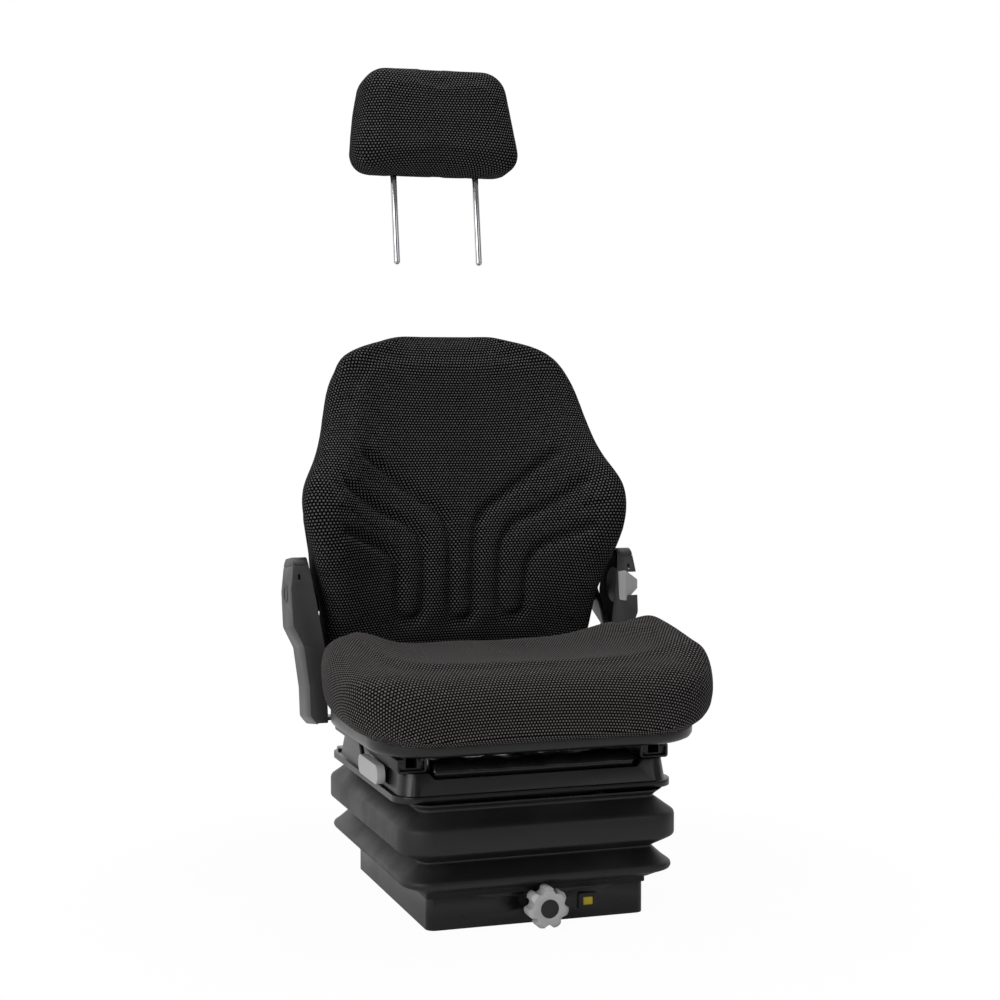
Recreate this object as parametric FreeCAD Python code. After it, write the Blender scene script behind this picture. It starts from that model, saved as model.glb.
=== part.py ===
"""Tractor suspension seat: scissor base, bellows, slide rails, pan, cushions, backrest and headrest.

Frame: the seat faces -Y, +X is to the right of someone who looks at its front, +Z is up.
The origin is the centre of the four mounting holes, on the underside of the base.
All sizes are in millimetres.
"""
import FreeCAD, Part
import math
import os

V = FreeCAD.Vector

# Base tub
BASE_W, BASE_D, BASE_H = 306.0, 362.0, 49.0
BASE_CORNER = 12.0
SHEET = 3.0
BOLT_PITCH_X, BOLT_PITCH_Y = 216.0, 254.0
BOLT_HOLE = 9.0
NUT_H, NUT_R = 7.0, 8.0

# Scissor suspension
TRAVEL = 100.0
ARM_LENGTH = BASE_D - 67.0
ARM_H, ARM_T = 30.0, 6.0
PIVOT_Y = BASE_D / 2 - 46.0
LOW_PIVOT_Z, TOP_PIVOT_Z = 30.0, 181.0
OUTER_ARM_X = BASE_W / 2 - 41.0
INNER_ARM_X = OUTER_ARM_X - ARM_T - 4.0
PIVOT_R, AXLE_R, CROSS_TUBE_R = 6.0, 5.0, 8.0
CROSS_TUBE_FROM_PIVOT = 45.0
SPRING_TUBE_FROM_END, SPRING_TUBE_RAISE = 50.0, 9.0
ROLLER_R, ROLLER_W = 12.0, 9.0
ROLLER_X = BASE_W / 2 - 28.0
RUNNING = 0.05
SIDE_GAP = 0.5
ROLLER_GAP, TOP_ROLLER_GAP = 0.3, 2.2
TRACK_T, TRACK_L = 2.5, 75.0
TRACK_X = ROLLER_X - 2.0
TRACK_FRONT = -BASE_D / 2 + 16.0
TRACK_REAR = TRACK_FRONT + TRACK_L
LUG_T = 4.0
OPEN_PIVOT_GAP = 2.2

# Springs, spindle and weight knob
SPINDLE_R = 4.5
SPINDLE_REAR = PIVOT_Y - 55.0
BRIDGE_Y = PIVOT_Y - 91.0
BRIDGE_W, BRIDGE_H, BRIDGE_T = 124.0, 14.0, 8.0
SPRING_X, SPRING_COIL_R, SPRING_WIRE = 42.0, 12.0, 4.0
SPRING_SEAT_GAP = 0.3
KNOB_Z = 29.5
KNOB_R, KNOB_LOBES, KNOB_LOBE_R, KNOB_T = 28.5, 7, 8.0, 24.0
KNOB_FRONT = -BASE_D / 2 - 48.0
KNOB_HUB_R = 13.0
KNOB_CAP_R, KNOB_CAP_T = 12.5, 2.5
WINDOW_X, WINDOW_Z = 71.0, 23.0
WINDOW_W, WINDOW_H = 14.0, 11.0
BEZEL_W, BEZEL_H, BEZEL_T = 28.0, 22.0, 3.0
POINTER_W, POINTER_TRAVEL = 5.0, 4.0

# Damper
DAMPER_FRONT_Y, DAMPER_TOP_Z = -BASE_D / 2 + 31.0, 180.0
DAMPER_ON_ARM = ARM_LENGTH - 175.0
DAMPER_R, DAMPER_ROD_R, DAMPER_EYE_R = 10.0, 4.0, 9.0
DAMPER_TUBE_L = 128.0
DAMPER_EYE_GAP = 4.2

# Bellows
FOLD_VALLEY = 10.0
FOLD_OUT, BAND_OUT = 35.5, 40.0
BELLOWS_WALL = 2.6
BELLOWS_CORNER = 5.0
FOLD_LOW_Z, FOLD_EDGE_Z, FOLD_EDGE_TOP_Z = 49.0, 64.0, 73.0
VALLEY_LOW_Z, BAND_LOW_Z, BAND_TOP_Z, VALLEY_TOP_Z = 93.0, 109.0, 141.0, 161.0

# Suspension cover (tray) and rails
COVER_W = BASE_W + 70.0
COVER_FRONT, COVER_REAR = -BASE_D / 2 - 3.0, BASE_D / 2 - 29.0
COVER_CORNER = 26.0
LIP_LOW_Z, LIP_TOP_Z, LIP_OUT = 172.0, 180.5, 8.0
DECK_Z = 200.2
DECK_T = 2.5
LEDGE_Z, LEDGE_INNER_X = 209.0, BASE_W / 2 - 7.0
COVER_WALL = 3.0
RAIL_W, RAIL_H, RAIL_T = 40.0, 19.0, 3.0
RAIL_X = LEDGE_INNER_X + 25.0
RAIL_FRONT, RAIL_REAR = COVER_FRONT + 12.0, COVER_REAR + 16.0
RAIL_SLOT, RAIL_GAP = 22.0, 0.5
UPPER_RAIL_TOP = 238.0
SLIDE_TRAVEL = 75.0

# Seat pan and cushion
PAN_HALF_W, PAN_REAR_HALF_W = 228.0, 203.0
PAN_FRONT, PAN_STEP_Y, PAN_REAR = -236.0, 46.0, 172.0
PAN_CORNER, PAN_REAR_CORNER = 84.0, 24.0
PAN_T, PAN_RIM_FRONT_Z, PAN_RIM_RISE = 2.0, 257.0, 0.05
CUSHION_GAP = 0.3
CUSHION_HALF_W, CUSHION_FRONT, CUSHION_REAR = 266.0, -243.0, 160.0
CUSHION_CORNER, CUSHION_TAPER, CUSHION_REAR_HALF_W = 98.0, 20.0, 200.0
CROWN_Z, BOLSTER_Z, HOLLOW_Z = 346.0, 368.0, 337.0

# Backrest: its own frame stands on the recline pivot and leans back
RECLINE_DEG = 8.5
RECLINE_Y, RECLINE_Z = 124.0, 292.0
BACK_TOP, BACK_LOW = 504.0, 38.0
BACK_FRONT, BACK_REAR = 8.0, 84.0
WING_DEPTH = 60.0
GROOVE_HALF_W, GROOVE_DEPTH = 5.0, 5.0
FRAME_HALF_W = 221.0
FRAME_T, SHELL_T = 2.5, 3.0
SIDE_ARM_X, SIDE_ARM_T = 226.0, 4.0
BRACKET_X, BRACKET_T, BRACKET_HEAD_R, FOOT_T = 221.5, 4.0, 17.0, 3.0
PIVOT_BOLT_R = 7.0
COVER_FACE_X, COVER_FOOT_X = 264.0, 244.0
COVER_INNER_LOW_X, COVER_INNER_TOP_X = 219.0, 239.0
COVER_FRONT_W, COVER_BACK_W = -22.0, 50.0
COVER_TOP_V, COVER_LOW_V = 176.0, -63.0
SIDE_COVER_WALL = 2.5
PLUG_R, PLUG_V, PLUG_W, PLUG_T = 12.5, 125.0, 18.0, 1.5
LUMBAR_V, LUMBAR_W, LUMBAR_R, LUMBAR_GAP = 121.0, -4.0, 22.5, 2.5
LUMBAR_INNER_X, LUMBAR_TIP_X = 235.0, 272.0

# Headrest
ROD_X, ROD_R, ROD_W = 65.0, 5.0, 60.0
ROD_LOW_V, ROD_LENGTH = 618.0, 220.0
ROD_FIT = 0.1
GUIDE_LOW_V, GUIDE_TOP_V, GUIDE_SIZE = 382.0, 496.0, 20.0
COLLAR_R, COLLAR_T = 10.0, 3.0
PAD_LOW_V, PAD_H, PAD_ROUND = 755.0, 163.0, 24.0
ROD_IN_PAD = ROD_LOW_V + ROD_LENGTH - PAD_LOW_V
PAD_LOW_HALF_W, PAD_TOP_HALF_W = 138.0, 112.0
PAD_FRONT_W, PAD_BACK_W = 18.0, 96.0

# Levers
LEVER_X, LEVER_R = RAIL_X + RAIL_W / 2 + 6.8, 3.2
LEVER_PIVOT_Y, LEVER_PIVOT_Z = 0.0, 231.5
PADDLE_L, PADDLE_H, PADDLE_T = 102.0, 26.0, 11.0
PADDLE_Y, PADDLE_Z = -66.0, 197.0
RECLINE_LEVER_X, RECLINE_PIN_Y, RECLINE_PIN_Z = 244.0, 8.0, 248.0

START_ANGLE = math.asin((TOP_PIVOT_Z - LOW_PIVOT_Z) / ARM_LENGTH)
FRONT_Y = PIVOT_Y - ARM_LENGTH * math.cos(START_ANGLE)


# Helpers
def place(plane, a, b, c):
    """A point from two coordinates in a plane and one along its normal."""
    return {"xy": V(a, b, c), "xz": V(a, c, b), "yz": V(c, a, b)}[plane]


def outline(points, radii, plane, c=0.0):
    """A closed wire through corner points, each rounded by its radius."""
    count = len(points)
    if not hasattr(radii, "__len__"):
        radii = [radii] * count
    corners = [place(plane, a, b, c) for a, b in points]
    starts, arcs = [], []
    for i, corner in enumerate(corners):
        back = (corners[i - 1] - corner).normalize()
        ahead = (corners[(i + 1) % count] - corner).normalize()
        half = back.getAngle(ahead) / 2
        radius = radii[i]
        if radius < 0.01:
            starts.append((corner, corner))
            arcs.append(None)
            continue
        reach = radius / math.tan(half)
        enter = corner + back * reach
        leave = corner + ahead * reach
        centre = corner + (back + ahead).normalize() * (radius / math.sin(half))
        middle = centre + (corner - centre).normalize() * radius
        starts.append((enter, leave))
        arcs.append(Part.Arc(enter, middle, leave).toShape())
    edges = []
    for i in range(count):
        if arcs[i]:
            edges.append(arcs[i])
        leave = starts[i][1]
        arrive = starts[(i + 1) % count][0]
        if leave.distanceToPoint(arrive) > 0.001:
            edges.append(Part.makeLine(leave, arrive))
    return Part.Wire(edges)


def prism(points, radii, plane, low, high):
    """A rounded outline extruded along its plane's normal, from low to high."""
    wire = outline(points, radii, plane, low)
    return Part.Face(wire).extrude(place(plane, 0, 0, high - low))


def rectangle(half_x, front, rear):
    return [(-half_x, front), (half_x, front), (half_x, rear), (-half_x, rear)]


def box(x0, x1, y0, y1, z0, z1):
    return Part.makeBox(x1 - x0, y1 - y0, z1 - z0, V(x0, y0, z0))


def pin(axis, centre, radius, length):
    """A cylinder centred on a point, along x, y or z."""
    direction = {"x": V(1, 0, 0), "y": V(0, 1, 0), "z": V(0, 0, 1)}[axis]
    return Part.makeCylinder(radius, length, centre - direction * (length / 2), direction)


def both_sides(shape):
    """The shape and its mirror image across the middle plane."""
    return [shape, shape.mirror(V(0, 0, 0), V(1, 0, 0))]


def group(shapes):
    """Several separate solids as one node."""
    solids = [solid for shape in shapes for solid in shape.Solids]
    return Part.makeCompound(solids)


def fuse(shapes):
    joined = shapes[0].fuse(shapes[1:]) if len(shapes) > 1 else shapes[0]
    return joined.removeSplitter()


def tube(start, end, radius, bore=0.0):
    length = start.distanceToPoint(end)
    body = Part.makeCylinder(radius, length, start, end - start)
    if bore:
        body = body.cut(Part.makeCylinder(bore, length, start, end - start))
    return body


def spline_ring(points):
    """A smooth closed wire through points."""
    curve = Part.BSplineCurve()
    curve.interpolate(points, PeriodicFlag=True)
    return Part.Wire([curve.toShape()])


def bent_rod(points, radius, bend):
    """A round rod along straight runs joined by bends of one radius."""
    edges, here = [], points[0]
    for i in range(1, len(points) - 1):
        back = (points[i - 1] - points[i]).normalize()
        ahead = (points[i + 1] - points[i]).normalize()
        half = back.getAngle(ahead) / 2
        reach = bend / math.tan(half)
        enter, leave = points[i] + back * reach, points[i] + ahead * reach
        centre = points[i] + (back + ahead).normalize() * (bend / math.sin(half))
        middle = centre + (points[i] - centre).normalize() * bend
        edges.append(Part.makeLine(here, enter))
        edges.append(Part.Arc(enter, middle, leave).toShape())
        here = leave
    edges.append(Part.makeLine(here, points[-1]))
    path = Part.Wire(edges)
    section = Part.Wire([Part.makeCircle(radius, points[0], points[1] - points[0])])
    return path.makePipeShell([section], True, False)


def recline(shape):
    """Moves a shape from the backrest's own frame (x, rearward, up its back) to the seat's frame."""
    moved = shape.copy()
    moved.rotate(V(0, 0, 0), V(1, 0, 0), -RECLINE_DEG)
    moved.translate(V(0, RECLINE_Y, RECLINE_Z))
    return moved


# Base and suspension
def make_base_tub():
    outer = prism(rectangle(BASE_W / 2, -BASE_D / 2, BASE_D / 2), BASE_CORNER, "xy", 0, BASE_H)
    inside = rectangle(BASE_W / 2 - SHEET, -BASE_D / 2 + SHEET, BASE_D / 2 - SHEET)
    tub = outer.cut(prism(inside, BASE_CORNER - SHEET, "xy", SHEET, BASE_H + 1))
    drills = []
    for x in (-BOLT_PITCH_X / 2, BOLT_PITCH_X / 2):
        for y in (-BOLT_PITCH_Y / 2, BOLT_PITCH_Y / 2):
            drills.append(pin("z", V(x, y, 0), BOLT_HOLE / 2, 4 * SHEET))
    wall_y = -BASE_D / 2
    drills.append(pin("y", V(0, wall_y, KNOB_Z), SPINDLE_R + RUNNING, 4 * SHEET))
    drills.append(box(WINDOW_X - WINDOW_W / 2 - 2, WINDOW_X + WINDOW_W / 2 + 2, wall_y - 1, wall_y + SHEET + 1,
                      WINDOW_Z - WINDOW_H / 2, WINDOW_Z + WINDOW_H / 2))
    lug_x = OUTER_ARM_X + ARM_T + SIDE_GAP
    lug = prism([(PIVOT_Y - 20, SHEET), (PIVOT_Y + 18, SHEET), (PIVOT_Y + 11, LOW_PIVOT_Z + 12),
                 (PIVOT_Y - 11, LOW_PIVOT_Z + 12)], [0, 0, 9, 9], "yz", lug_x, lug_x + LUG_T)
    lugs = both_sides(lug.cut(pin("x", V(lug_x, PIVOT_Y, LOW_PIVOT_Z), PIVOT_R, 4 * LUG_T)))
    return fuse([tub.cut(drills)] + lugs)


def make_weld_nuts():
    nuts = []
    for x in (-BOLT_PITCH_X / 2, BOLT_PITCH_X / 2):
        for y in (-BOLT_PITCH_Y / 2, BOLT_PITCH_Y / 2):
            corners = [(x + NUT_R * math.cos(math.radians(60 * k)), y + NUT_R * math.sin(math.radians(60 * k)))
                       for k in range(6)]
            nut = prism(corners, 0, "xy", SHEET, SHEET + NUT_H)
            nuts.append(nut.cut(pin("z", V(x, y, SHEET), BOLT_HOLE / 2 - 0.5, 4 * NUT_H)))
    return group(nuts)


def make_track(side, centre_z, gap, top_flange_z=None):
    """A channel in which a roller runs; it opens towards the middle of the seat."""
    web_x = BASE_W / 2 - SHEET
    inner_low = centre_z - ROLLER_R - gap
    inner_high = centre_z + ROLLER_R + gap
    high = top_flange_z if top_flange_z else inner_high + TRACK_T
    profile = [(TRACK_X, inner_low - TRACK_T), (web_x, inner_low - TRACK_T), (web_x, high), (TRACK_X, high),
               (TRACK_X, inner_high), (web_x - TRACK_T, inner_high), (web_x - TRACK_T, inner_low),
               (TRACK_X, inner_low)]
    track = prism(profile, 0, "xz", TRACK_FRONT, TRACK_REAR)
    return track if side > 0 else track.mirror(V(0, 0, 0), V(1, 0, 0))


def arm_point(distance, angle, sign, pivot_z, raise_by=0.0):
    """A point along an arm from its rear pivot; sign +1 rises to the front, -1 falls to the front."""
    y = PIVOT_Y - distance * math.cos(angle) + sign * raise_by * math.sin(angle)
    z = pivot_z + sign * distance * math.sin(angle) + raise_by * math.cos(angle)
    return y, z


def make_arm(x0, sign, pivot_z, holes, tab=None):
    """A flat arm with round ends; holes and tab place things by their distance from the rear pivot."""
    half, trim = ARM_H / 2, 2.0
    ends = [(-half + trim, -half + trim), (ARM_LENGTH + half - trim, -half + trim),
            (ARM_LENGTH + half - trim, half - trim), (-half + trim, half - trim)]
    points = [arm_point(distance, START_ANGLE, sign, pivot_z, up) for distance, up in ends]
    arm = prism(points, half - trim - 0.2, "yz", x0, x0 + ARM_T)
    for distance, radius in holes:
        y, z = arm_point(distance, START_ANGLE, sign, pivot_z)
        arm = arm.cut(pin("x", V(x0, y, z), radius, 4 * ARM_T))
    if tab:
        distance, raise_by, radius = tab
        y, z = arm_point(distance, START_ANGLE, sign, pivot_z, raise_by)
        arm = fuse([arm, Part.makeCylinder(radius, ARM_T, V(x0, y, z), V(1, 0, 0))])
    return arm


def make_cross_tube(point, half_length, radius=CROSS_TUBE_R):
    y, z = point
    return tube(V(-half_length, y, z), V(half_length, y, z), radius, radius - 2)


def make_spring(start, end):
    """An extension spring as its closed coil with a straight hook at each end."""
    direction = (end - start).normalize()
    length = start.distanceToPoint(end)
    hook = 12.0
    coil = tube(start + direction * hook, start + direction * (length - hook), SPRING_COIL_R,
                SPRING_COIL_R - SPRING_WIRE)
    bars = [tube(start, start + direction * (hook + 3), SPRING_WIRE / 2),
            tube(end - direction * (hook + 3), end, SPRING_WIRE / 2)]
    webs = [tube(start + direction * (hook + 0.5), start + direction * (hook + 3.5), SPRING_COIL_R - 1),
            tube(end - direction * (hook + 3.5), end - direction * (hook + 0.5), SPRING_COIL_R - 1)]
    return fuse([coil] + bars + webs)


def make_spring_bridge():
    plate = box(-BRIDGE_W / 2, BRIDGE_W / 2, BRIDGE_Y - BRIDGE_T / 2, BRIDGE_Y + BRIDGE_T / 2,
                KNOB_Z - BRIDGE_H / 2, KNOB_Z + BRIDGE_H / 2)
    boss = pin("y", V(0, BRIDGE_Y, KNOB_Z), BRIDGE_H / 2, 3 * BRIDGE_T)
    bridge = fuse([plate, boss])
    return bridge.cut(pin("y", V(0, BRIDGE_Y, KNOB_Z), SPINDLE_R + RUNNING, 8 * BRIDGE_T))


def make_spindle():
    return tube(V(0, KNOB_FRONT + KNOB_T / 2, KNOB_Z), V(0, SPINDLE_REAR, KNOB_Z), SPINDLE_R)


def make_weight_knob():
    """A knob of seven lobes on a round hub, with a sunk seat for its cap."""
    back_y = KNOB_FRONT + KNOB_T
    lobe_ring = KNOB_R - KNOB_LOBE_R
    hollow_r = 6.0
    core = Part.makeCylinder(lobe_ring + 3.5, KNOB_T, V(0, KNOB_FRONT, KNOB_Z), V(0, 1, 0))
    parts = [core]
    for k in range(KNOB_LOBES):
        angle = math.radians(90 + 360.0 * k / KNOB_LOBES)
        centre = V(lobe_ring * math.cos(angle), KNOB_FRONT, KNOB_Z + lobe_ring * math.sin(angle))
        parts.append(Part.makeCylinder(KNOB_LOBE_R, KNOB_T, centre, V(0, 1, 0)))
    knob = fuse(parts)
    for k in range(KNOB_LOBES):
        angle = math.radians(90 + 360.0 * (k + 0.5) / KNOB_LOBES)
        reach = lobe_ring + 3.5 + hollow_r * 0.55
        centre = V(reach * math.cos(angle), KNOB_FRONT - 1, KNOB_Z + reach * math.sin(angle))
        knob = knob.cut(Part.makeCylinder(hollow_r, KNOB_T + 2, centre, V(0, 1, 0)))
    crown_drop = 5.0
    crown = Part.makeCone(KNOB_R - crown_drop, KNOB_R + 1.5, crown_drop + 1.5, V(0, KNOB_FRONT, KNOB_Z), V(0, 1, 0))
    rest = Part.makeCylinder(KNOB_R + 1, KNOB_T, V(0, KNOB_FRONT + crown_drop + 1.5, KNOB_Z), V(0, 1, 0))
    knob = knob.common(fuse([crown, rest]))
    hub_end = -BASE_D / 2 - BEZEL_T
    hub = Part.makeCylinder(KNOB_HUB_R, hub_end - back_y + 1, V(0, back_y - 1, KNOB_Z), V(0, 1, 0))
    knob = fuse([knob, hub])
    knob = knob.cut(Part.makeCylinder(KNOB_CAP_R, KNOB_CAP_T, V(0, KNOB_FRONT, KNOB_Z), V(0, 1, 0)))
    return knob.cut(Part.makeCylinder(SPINDLE_R, KNOB_T * 3, V(0, KNOB_FRONT + KNOB_T / 2, KNOB_Z), V(0, 1, 0)))


def make_knob_cap():
    cap = Part.makeCylinder(KNOB_CAP_R, KNOB_CAP_T, V(0, KNOB_FRONT, KNOB_Z), V(0, 1, 0))
    dome_r = 60.0
    dome = Part.makeSphere(dome_r, V(0, KNOB_FRONT + dome_r - 1.5, KNOB_Z))
    lens = dome.common(Part.makeCylinder(KNOB_CAP_R, 5, V(0, KNOB_FRONT - 5, KNOB_Z), V(0, 1, 0)))
    return fuse([cap, lens])


def make_bezel():
    """The dark frame round the weight window, with a collar that reaches through the wall."""
    wall_y = -BASE_D / 2
    frame = prism([(WINDOW_X - BEZEL_W / 2, WINDOW_Z - BEZEL_H / 2), (WINDOW_X + BEZEL_W / 2, WINDOW_Z - BEZEL_H / 2),
                   (WINDOW_X + BEZEL_W / 2, WINDOW_Z + BEZEL_H / 2), (WINDOW_X - BEZEL_W / 2, WINDOW_Z + BEZEL_H / 2)],
                  3, "xz", wall_y - BEZEL_T, wall_y)
    opening = box(WINDOW_X - WINDOW_W / 2, WINDOW_X + WINDOW_W / 2, wall_y - 2 * BEZEL_T, wall_y + 1,
                  WINDOW_Z - WINDOW_H / 2, WINDOW_Z + WINDOW_H / 2)
    return frame.cut(opening)


def make_window():
    wall_y = -BASE_D / 2
    return box(WINDOW_X - WINDOW_W / 2, WINDOW_X + WINDOW_W / 2, wall_y - 1.5, wall_y,
               WINDOW_Z - WINDOW_H / 2, WINDOW_Z + WINDOW_H / 2)


def make_pointer():
    wall_y = -BASE_D / 2
    return box(WINDOW_X - POINTER_W / 2, WINDOW_X + POINTER_W / 2, wall_y + 0.5, wall_y + 2.0,
               WINDOW_Z - WINDOW_H / 2 + 0.5, WINDOW_Z + WINDOW_H / 2 - 0.5)


def make_bump_stops():
    stops = []
    base_z = LOW_PIVOT_Z + ROLLER_R + ROLLER_GAP + TRACK_T
    top_z = TOP_PIVOT_Z - ROLLER_R - TOP_ROLLER_GAP - TRACK_T - TRAVEL
    middle_x = (TRACK_X + BASE_W / 2 - SHEET) / 2
    for y in (TRACK_FRONT + 13.0, TRACK_REAR - 18.0):
        stop = Part.makeCone(9, 7, top_z - base_z - SIDE_GAP, V(middle_x, y, base_z))
        stops += both_sides(stop)
    return group(stops)


def damper_points():
    """The damper's front eye on the cover and its rear eye on the inner arm."""
    y, z = arm_point(DAMPER_ON_ARM, START_ANGLE, -1, TOP_PIVOT_Z)
    return V(0, DAMPER_FRONT_Y, DAMPER_TOP_Z), V(0, y, z)


def make_damper_tube():
    front, rear = damper_points()
    along = (rear - front).normalize()
    body = tube(front + along * (DAMPER_EYE_R - 2), front + along * DAMPER_TUBE_L, DAMPER_R)
    eye = pin("x", front, DAMPER_EYE_R, 14)
    whole = fuse([body, eye]).cut(pin("x", front, AXLE_R + RUNNING, 60))
    start = front + along * 20
    return whole.cut(tube(start, front + along * (DAMPER_TUBE_L + 5), DAMPER_ROD_R + RUNNING))


def make_damper_rod():
    front, rear = damper_points()
    along = (rear - front).normalize()
    eye_r = AXLE_R + DAMPER_EYE_GAP + 3
    rod = tube(front + along * 60, rear - along * (eye_r - 2), DAMPER_ROD_R)
    eye = pin("x", rear, eye_r, 14)
    return fuse([rod, eye]).cut(pin("x", rear, AXLE_R + DAMPER_EYE_GAP, 60))


def make_damper_arm_pin():
    """The bar between the inner arms that carries the damper's rear eye."""
    rear = damper_points()[1]
    return pin("x", rear, AXLE_R, 2 * INNER_ARM_X)


def make_damper_bracket():
    """Two cheeks and a pin under the deck, at the damper's front eye."""
    front = damper_points()[0]
    under = DECK_Z - DECK_T
    cheek = prism([(front.y - 12, front.z - 10), (front.y + 12, front.z - 10), (front.y + 16, under),
                   (front.y - 16, under)], [6, 6, 0, 0], "yz", DAMPER_R + SIDE_GAP, DAMPER_R + LUG_T)
    return fuse(both_sides(cheek) + [pin("x", front, AXLE_R, 2 * (DAMPER_R + LUG_T))])


# Bellows
def make_bellows():
    """One moulded skirt: a low fold, a tall band and the valleys between them."""
    inner_x, inner_y = BASE_W / 2 + 1, BASE_D / 2 + 1
    profile = [(0.0, FOLD_LOW_Z - 6), (0.0, FOLD_LOW_Z), (FOLD_OUT, FOLD_EDGE_Z), (FOLD_OUT, FOLD_EDGE_TOP_Z - 4),
               (FOLD_OUT - 5, FOLD_EDGE_TOP_Z), (FOLD_VALLEY, VALLEY_LOW_Z), (BAND_OUT, BAND_LOW_Z),
               (BAND_OUT, BAND_TOP_Z), (FOLD_VALLEY + 1, VALLEY_TOP_Z), (FOLD_VALLEY + 14, LIP_LOW_Z)]
    outer = skirt(profile, inner_x, inner_y, 0.0)
    inner_profile = [(0.0, FOLD_LOW_Z - 8), (0.0, FOLD_LOW_Z + 1.5), (FOLD_OUT, FOLD_EDGE_Z + 1.2),
                     (FOLD_OUT, FOLD_EDGE_TOP_Z - 4.5), (FOLD_OUT - 4, FOLD_EDGE_TOP_Z - 1.5),
                     (FOLD_VALLEY, VALLEY_LOW_Z), (BAND_OUT, BAND_LOW_Z + 1.2), (BAND_OUT, BAND_TOP_Z - 1.2),
                     (FOLD_VALLEY + 1, VALLEY_TOP_Z), (FOLD_VALLEY + 14, LIP_LOW_Z + 2)]
    inner = skirt(inner_profile, inner_x, inner_y, -BELLOWS_WALL)
    collar = prism(rectangle(inner_x - 1, -inner_y + 1, inner_y - 1), BASE_CORNER, "xy", 0, FOLD_LOW_Z)
    return outer.cut(inner).cut(collar)


def skirt(profile, half_x, half_y, shift):
    """Rounded rectangles of changing size, stacked as straight-sided steps."""
    rings = []
    for out, z in profile:
        grow = out + shift
        radius = max(BELLOWS_CORNER + grow, 1.5)
        rings.append(outline(rectangle(half_x + grow, -half_y - grow, half_y + grow), radius, "xy", z))
    steps = [Part.makeLoft([a, b], True, True) for a, b in zip(rings, rings[1:])]
    return fuse(steps)


# Suspension cover and rails
def make_suspension_cover():
    """The folded cover on top of the scissor: lip, skirt, deck, and a ledge under each rail."""
    half = COVER_W / 2
    lip = prism(rectangle(half + LIP_OUT, COVER_FRONT - LIP_OUT, BASE_D / 2 + 4), COVER_CORNER + LIP_OUT, "xy",
                LIP_LOW_Z, LIP_TOP_Z)
    slope = Part.makeLoft([
        outline(rectangle(half + 1, COVER_FRONT - 1, COVER_REAR + 10), COVER_CORNER, "xy", LIP_TOP_Z),
        outline(rectangle(half - 2, COVER_FRONT + 5, COVER_REAR), COVER_CORNER, "xy", LEDGE_Z)], True, True)
    body = fuse([lip, slope])
    trough = prism([(-LEDGE_INNER_X + 4, DECK_Z), (LEDGE_INNER_X - 4, DECK_Z), (LEDGE_INNER_X + 5, LEDGE_Z + 1),
                    (-LEDGE_INNER_X - 5, LEDGE_Z + 1)], 0, "xz", COVER_FRONT - 30, COVER_REAR + 30)
    body = body.cut(trough)
    inside_low = prism(rectangle(half - COVER_WALL, COVER_FRONT + COVER_WALL + 1, COVER_REAR + 1),
                       COVER_CORNER - COVER_WALL, "xy", LIP_LOW_Z - 1, DECK_Z - DECK_T)
    body = body.cut(inside_low)
    ear = prism([(half - 30, COVER_REAR + 2), (half + 2, COVER_REAR + 2), (half - 2, COVER_REAR + 28),
                 (half - 24, COVER_REAR + 28)], [0, 0, 8, 8], "xy", LIP_LOW_Z, LIP_LOW_Z + 12)
    return fuse([body] + both_sides(ear))


def make_upper_lugs():
    """Lugs under the deck, each with the pin that carries an inner arm's rear end."""
    lug_x = INNER_ARM_X - SIDE_GAP - LUG_T
    under, low = DECK_Z - DECK_T, TOP_PIVOT_Z - 13
    lug = prism([(PIVOT_Y - 16, under), (PIVOT_Y + 16, under), (PIVOT_Y + 9, low), (PIVOT_Y - 9, low)],
                [0, 0, 8, 8], "yz", lug_x, lug_x + LUG_T)
    pivot = Part.makeCylinder(PIVOT_R, INNER_ARM_X + ARM_T + 1 - lug_x, V(lug_x, PIVOT_Y, TOP_PIVOT_Z), V(1, 0, 0))
    return group(both_sides(fuse([lug, pivot])))


def make_lower_rail(side):
    """A steel channel, open at the top, with its lips turned in."""
    half, lip = RAIL_W / 2, RAIL_SLOT / 2
    z0, z1, t = LEDGE_Z, LEDGE_Z + RAIL_H, RAIL_T
    profile = [(-half, z0), (half, z0), (half, z1), (lip, z1), (lip, z1 - t), (half - t, z1 - t), (half - t, z0 + t),
               (-half + t, z0 + t), (-half + t, z1 - t), (-lip, z1 - t), (-lip, z1), (-half, z1)]
    radii = [4, 4, 3, 0, 0, 1.5, 1.5, 1.5, 1.5, 0, 0, 3]
    return prism([(side * RAIL_X + a, b) for a, b in profile], radii, "xz", RAIL_FRONT, RAIL_REAR)


def make_upper_rail(side):
    """The moving rail: a foot inside the lower rail, a web through its slot and a top flange."""
    foot = RAIL_W / 2 - RAIL_T - RAIL_GAP
    web = RAIL_SLOT / 2 - RAIL_GAP
    z0 = LEDGE_Z + RAIL_T + RAIL_GAP
    z1 = LEDGE_Z + RAIL_H - RAIL_T - RAIL_GAP
    top = UPPER_RAIL_TOP
    profile = [(-foot, z0), (foot, z0), (foot, z1), (web, z1), (web, top - RAIL_T), (foot, top - RAIL_T), (foot, top),
               (-foot, top), (-foot, top - RAIL_T), (-web, top - RAIL_T), (-web, z1), (-foot, z1)]
    body = prism([(side * RAIL_X + a, b) for a, b in profile], 0, "xz", RAIL_FRONT + 4, RAIL_REAR)
    slot = box(side * RAIL_X - web + RAIL_T, side * RAIL_X + web - RAIL_T, RAIL_FRONT, RAIL_REAR + 1,
               z0 + RAIL_T, top - RAIL_T)
    return body.cut(slot)


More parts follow.
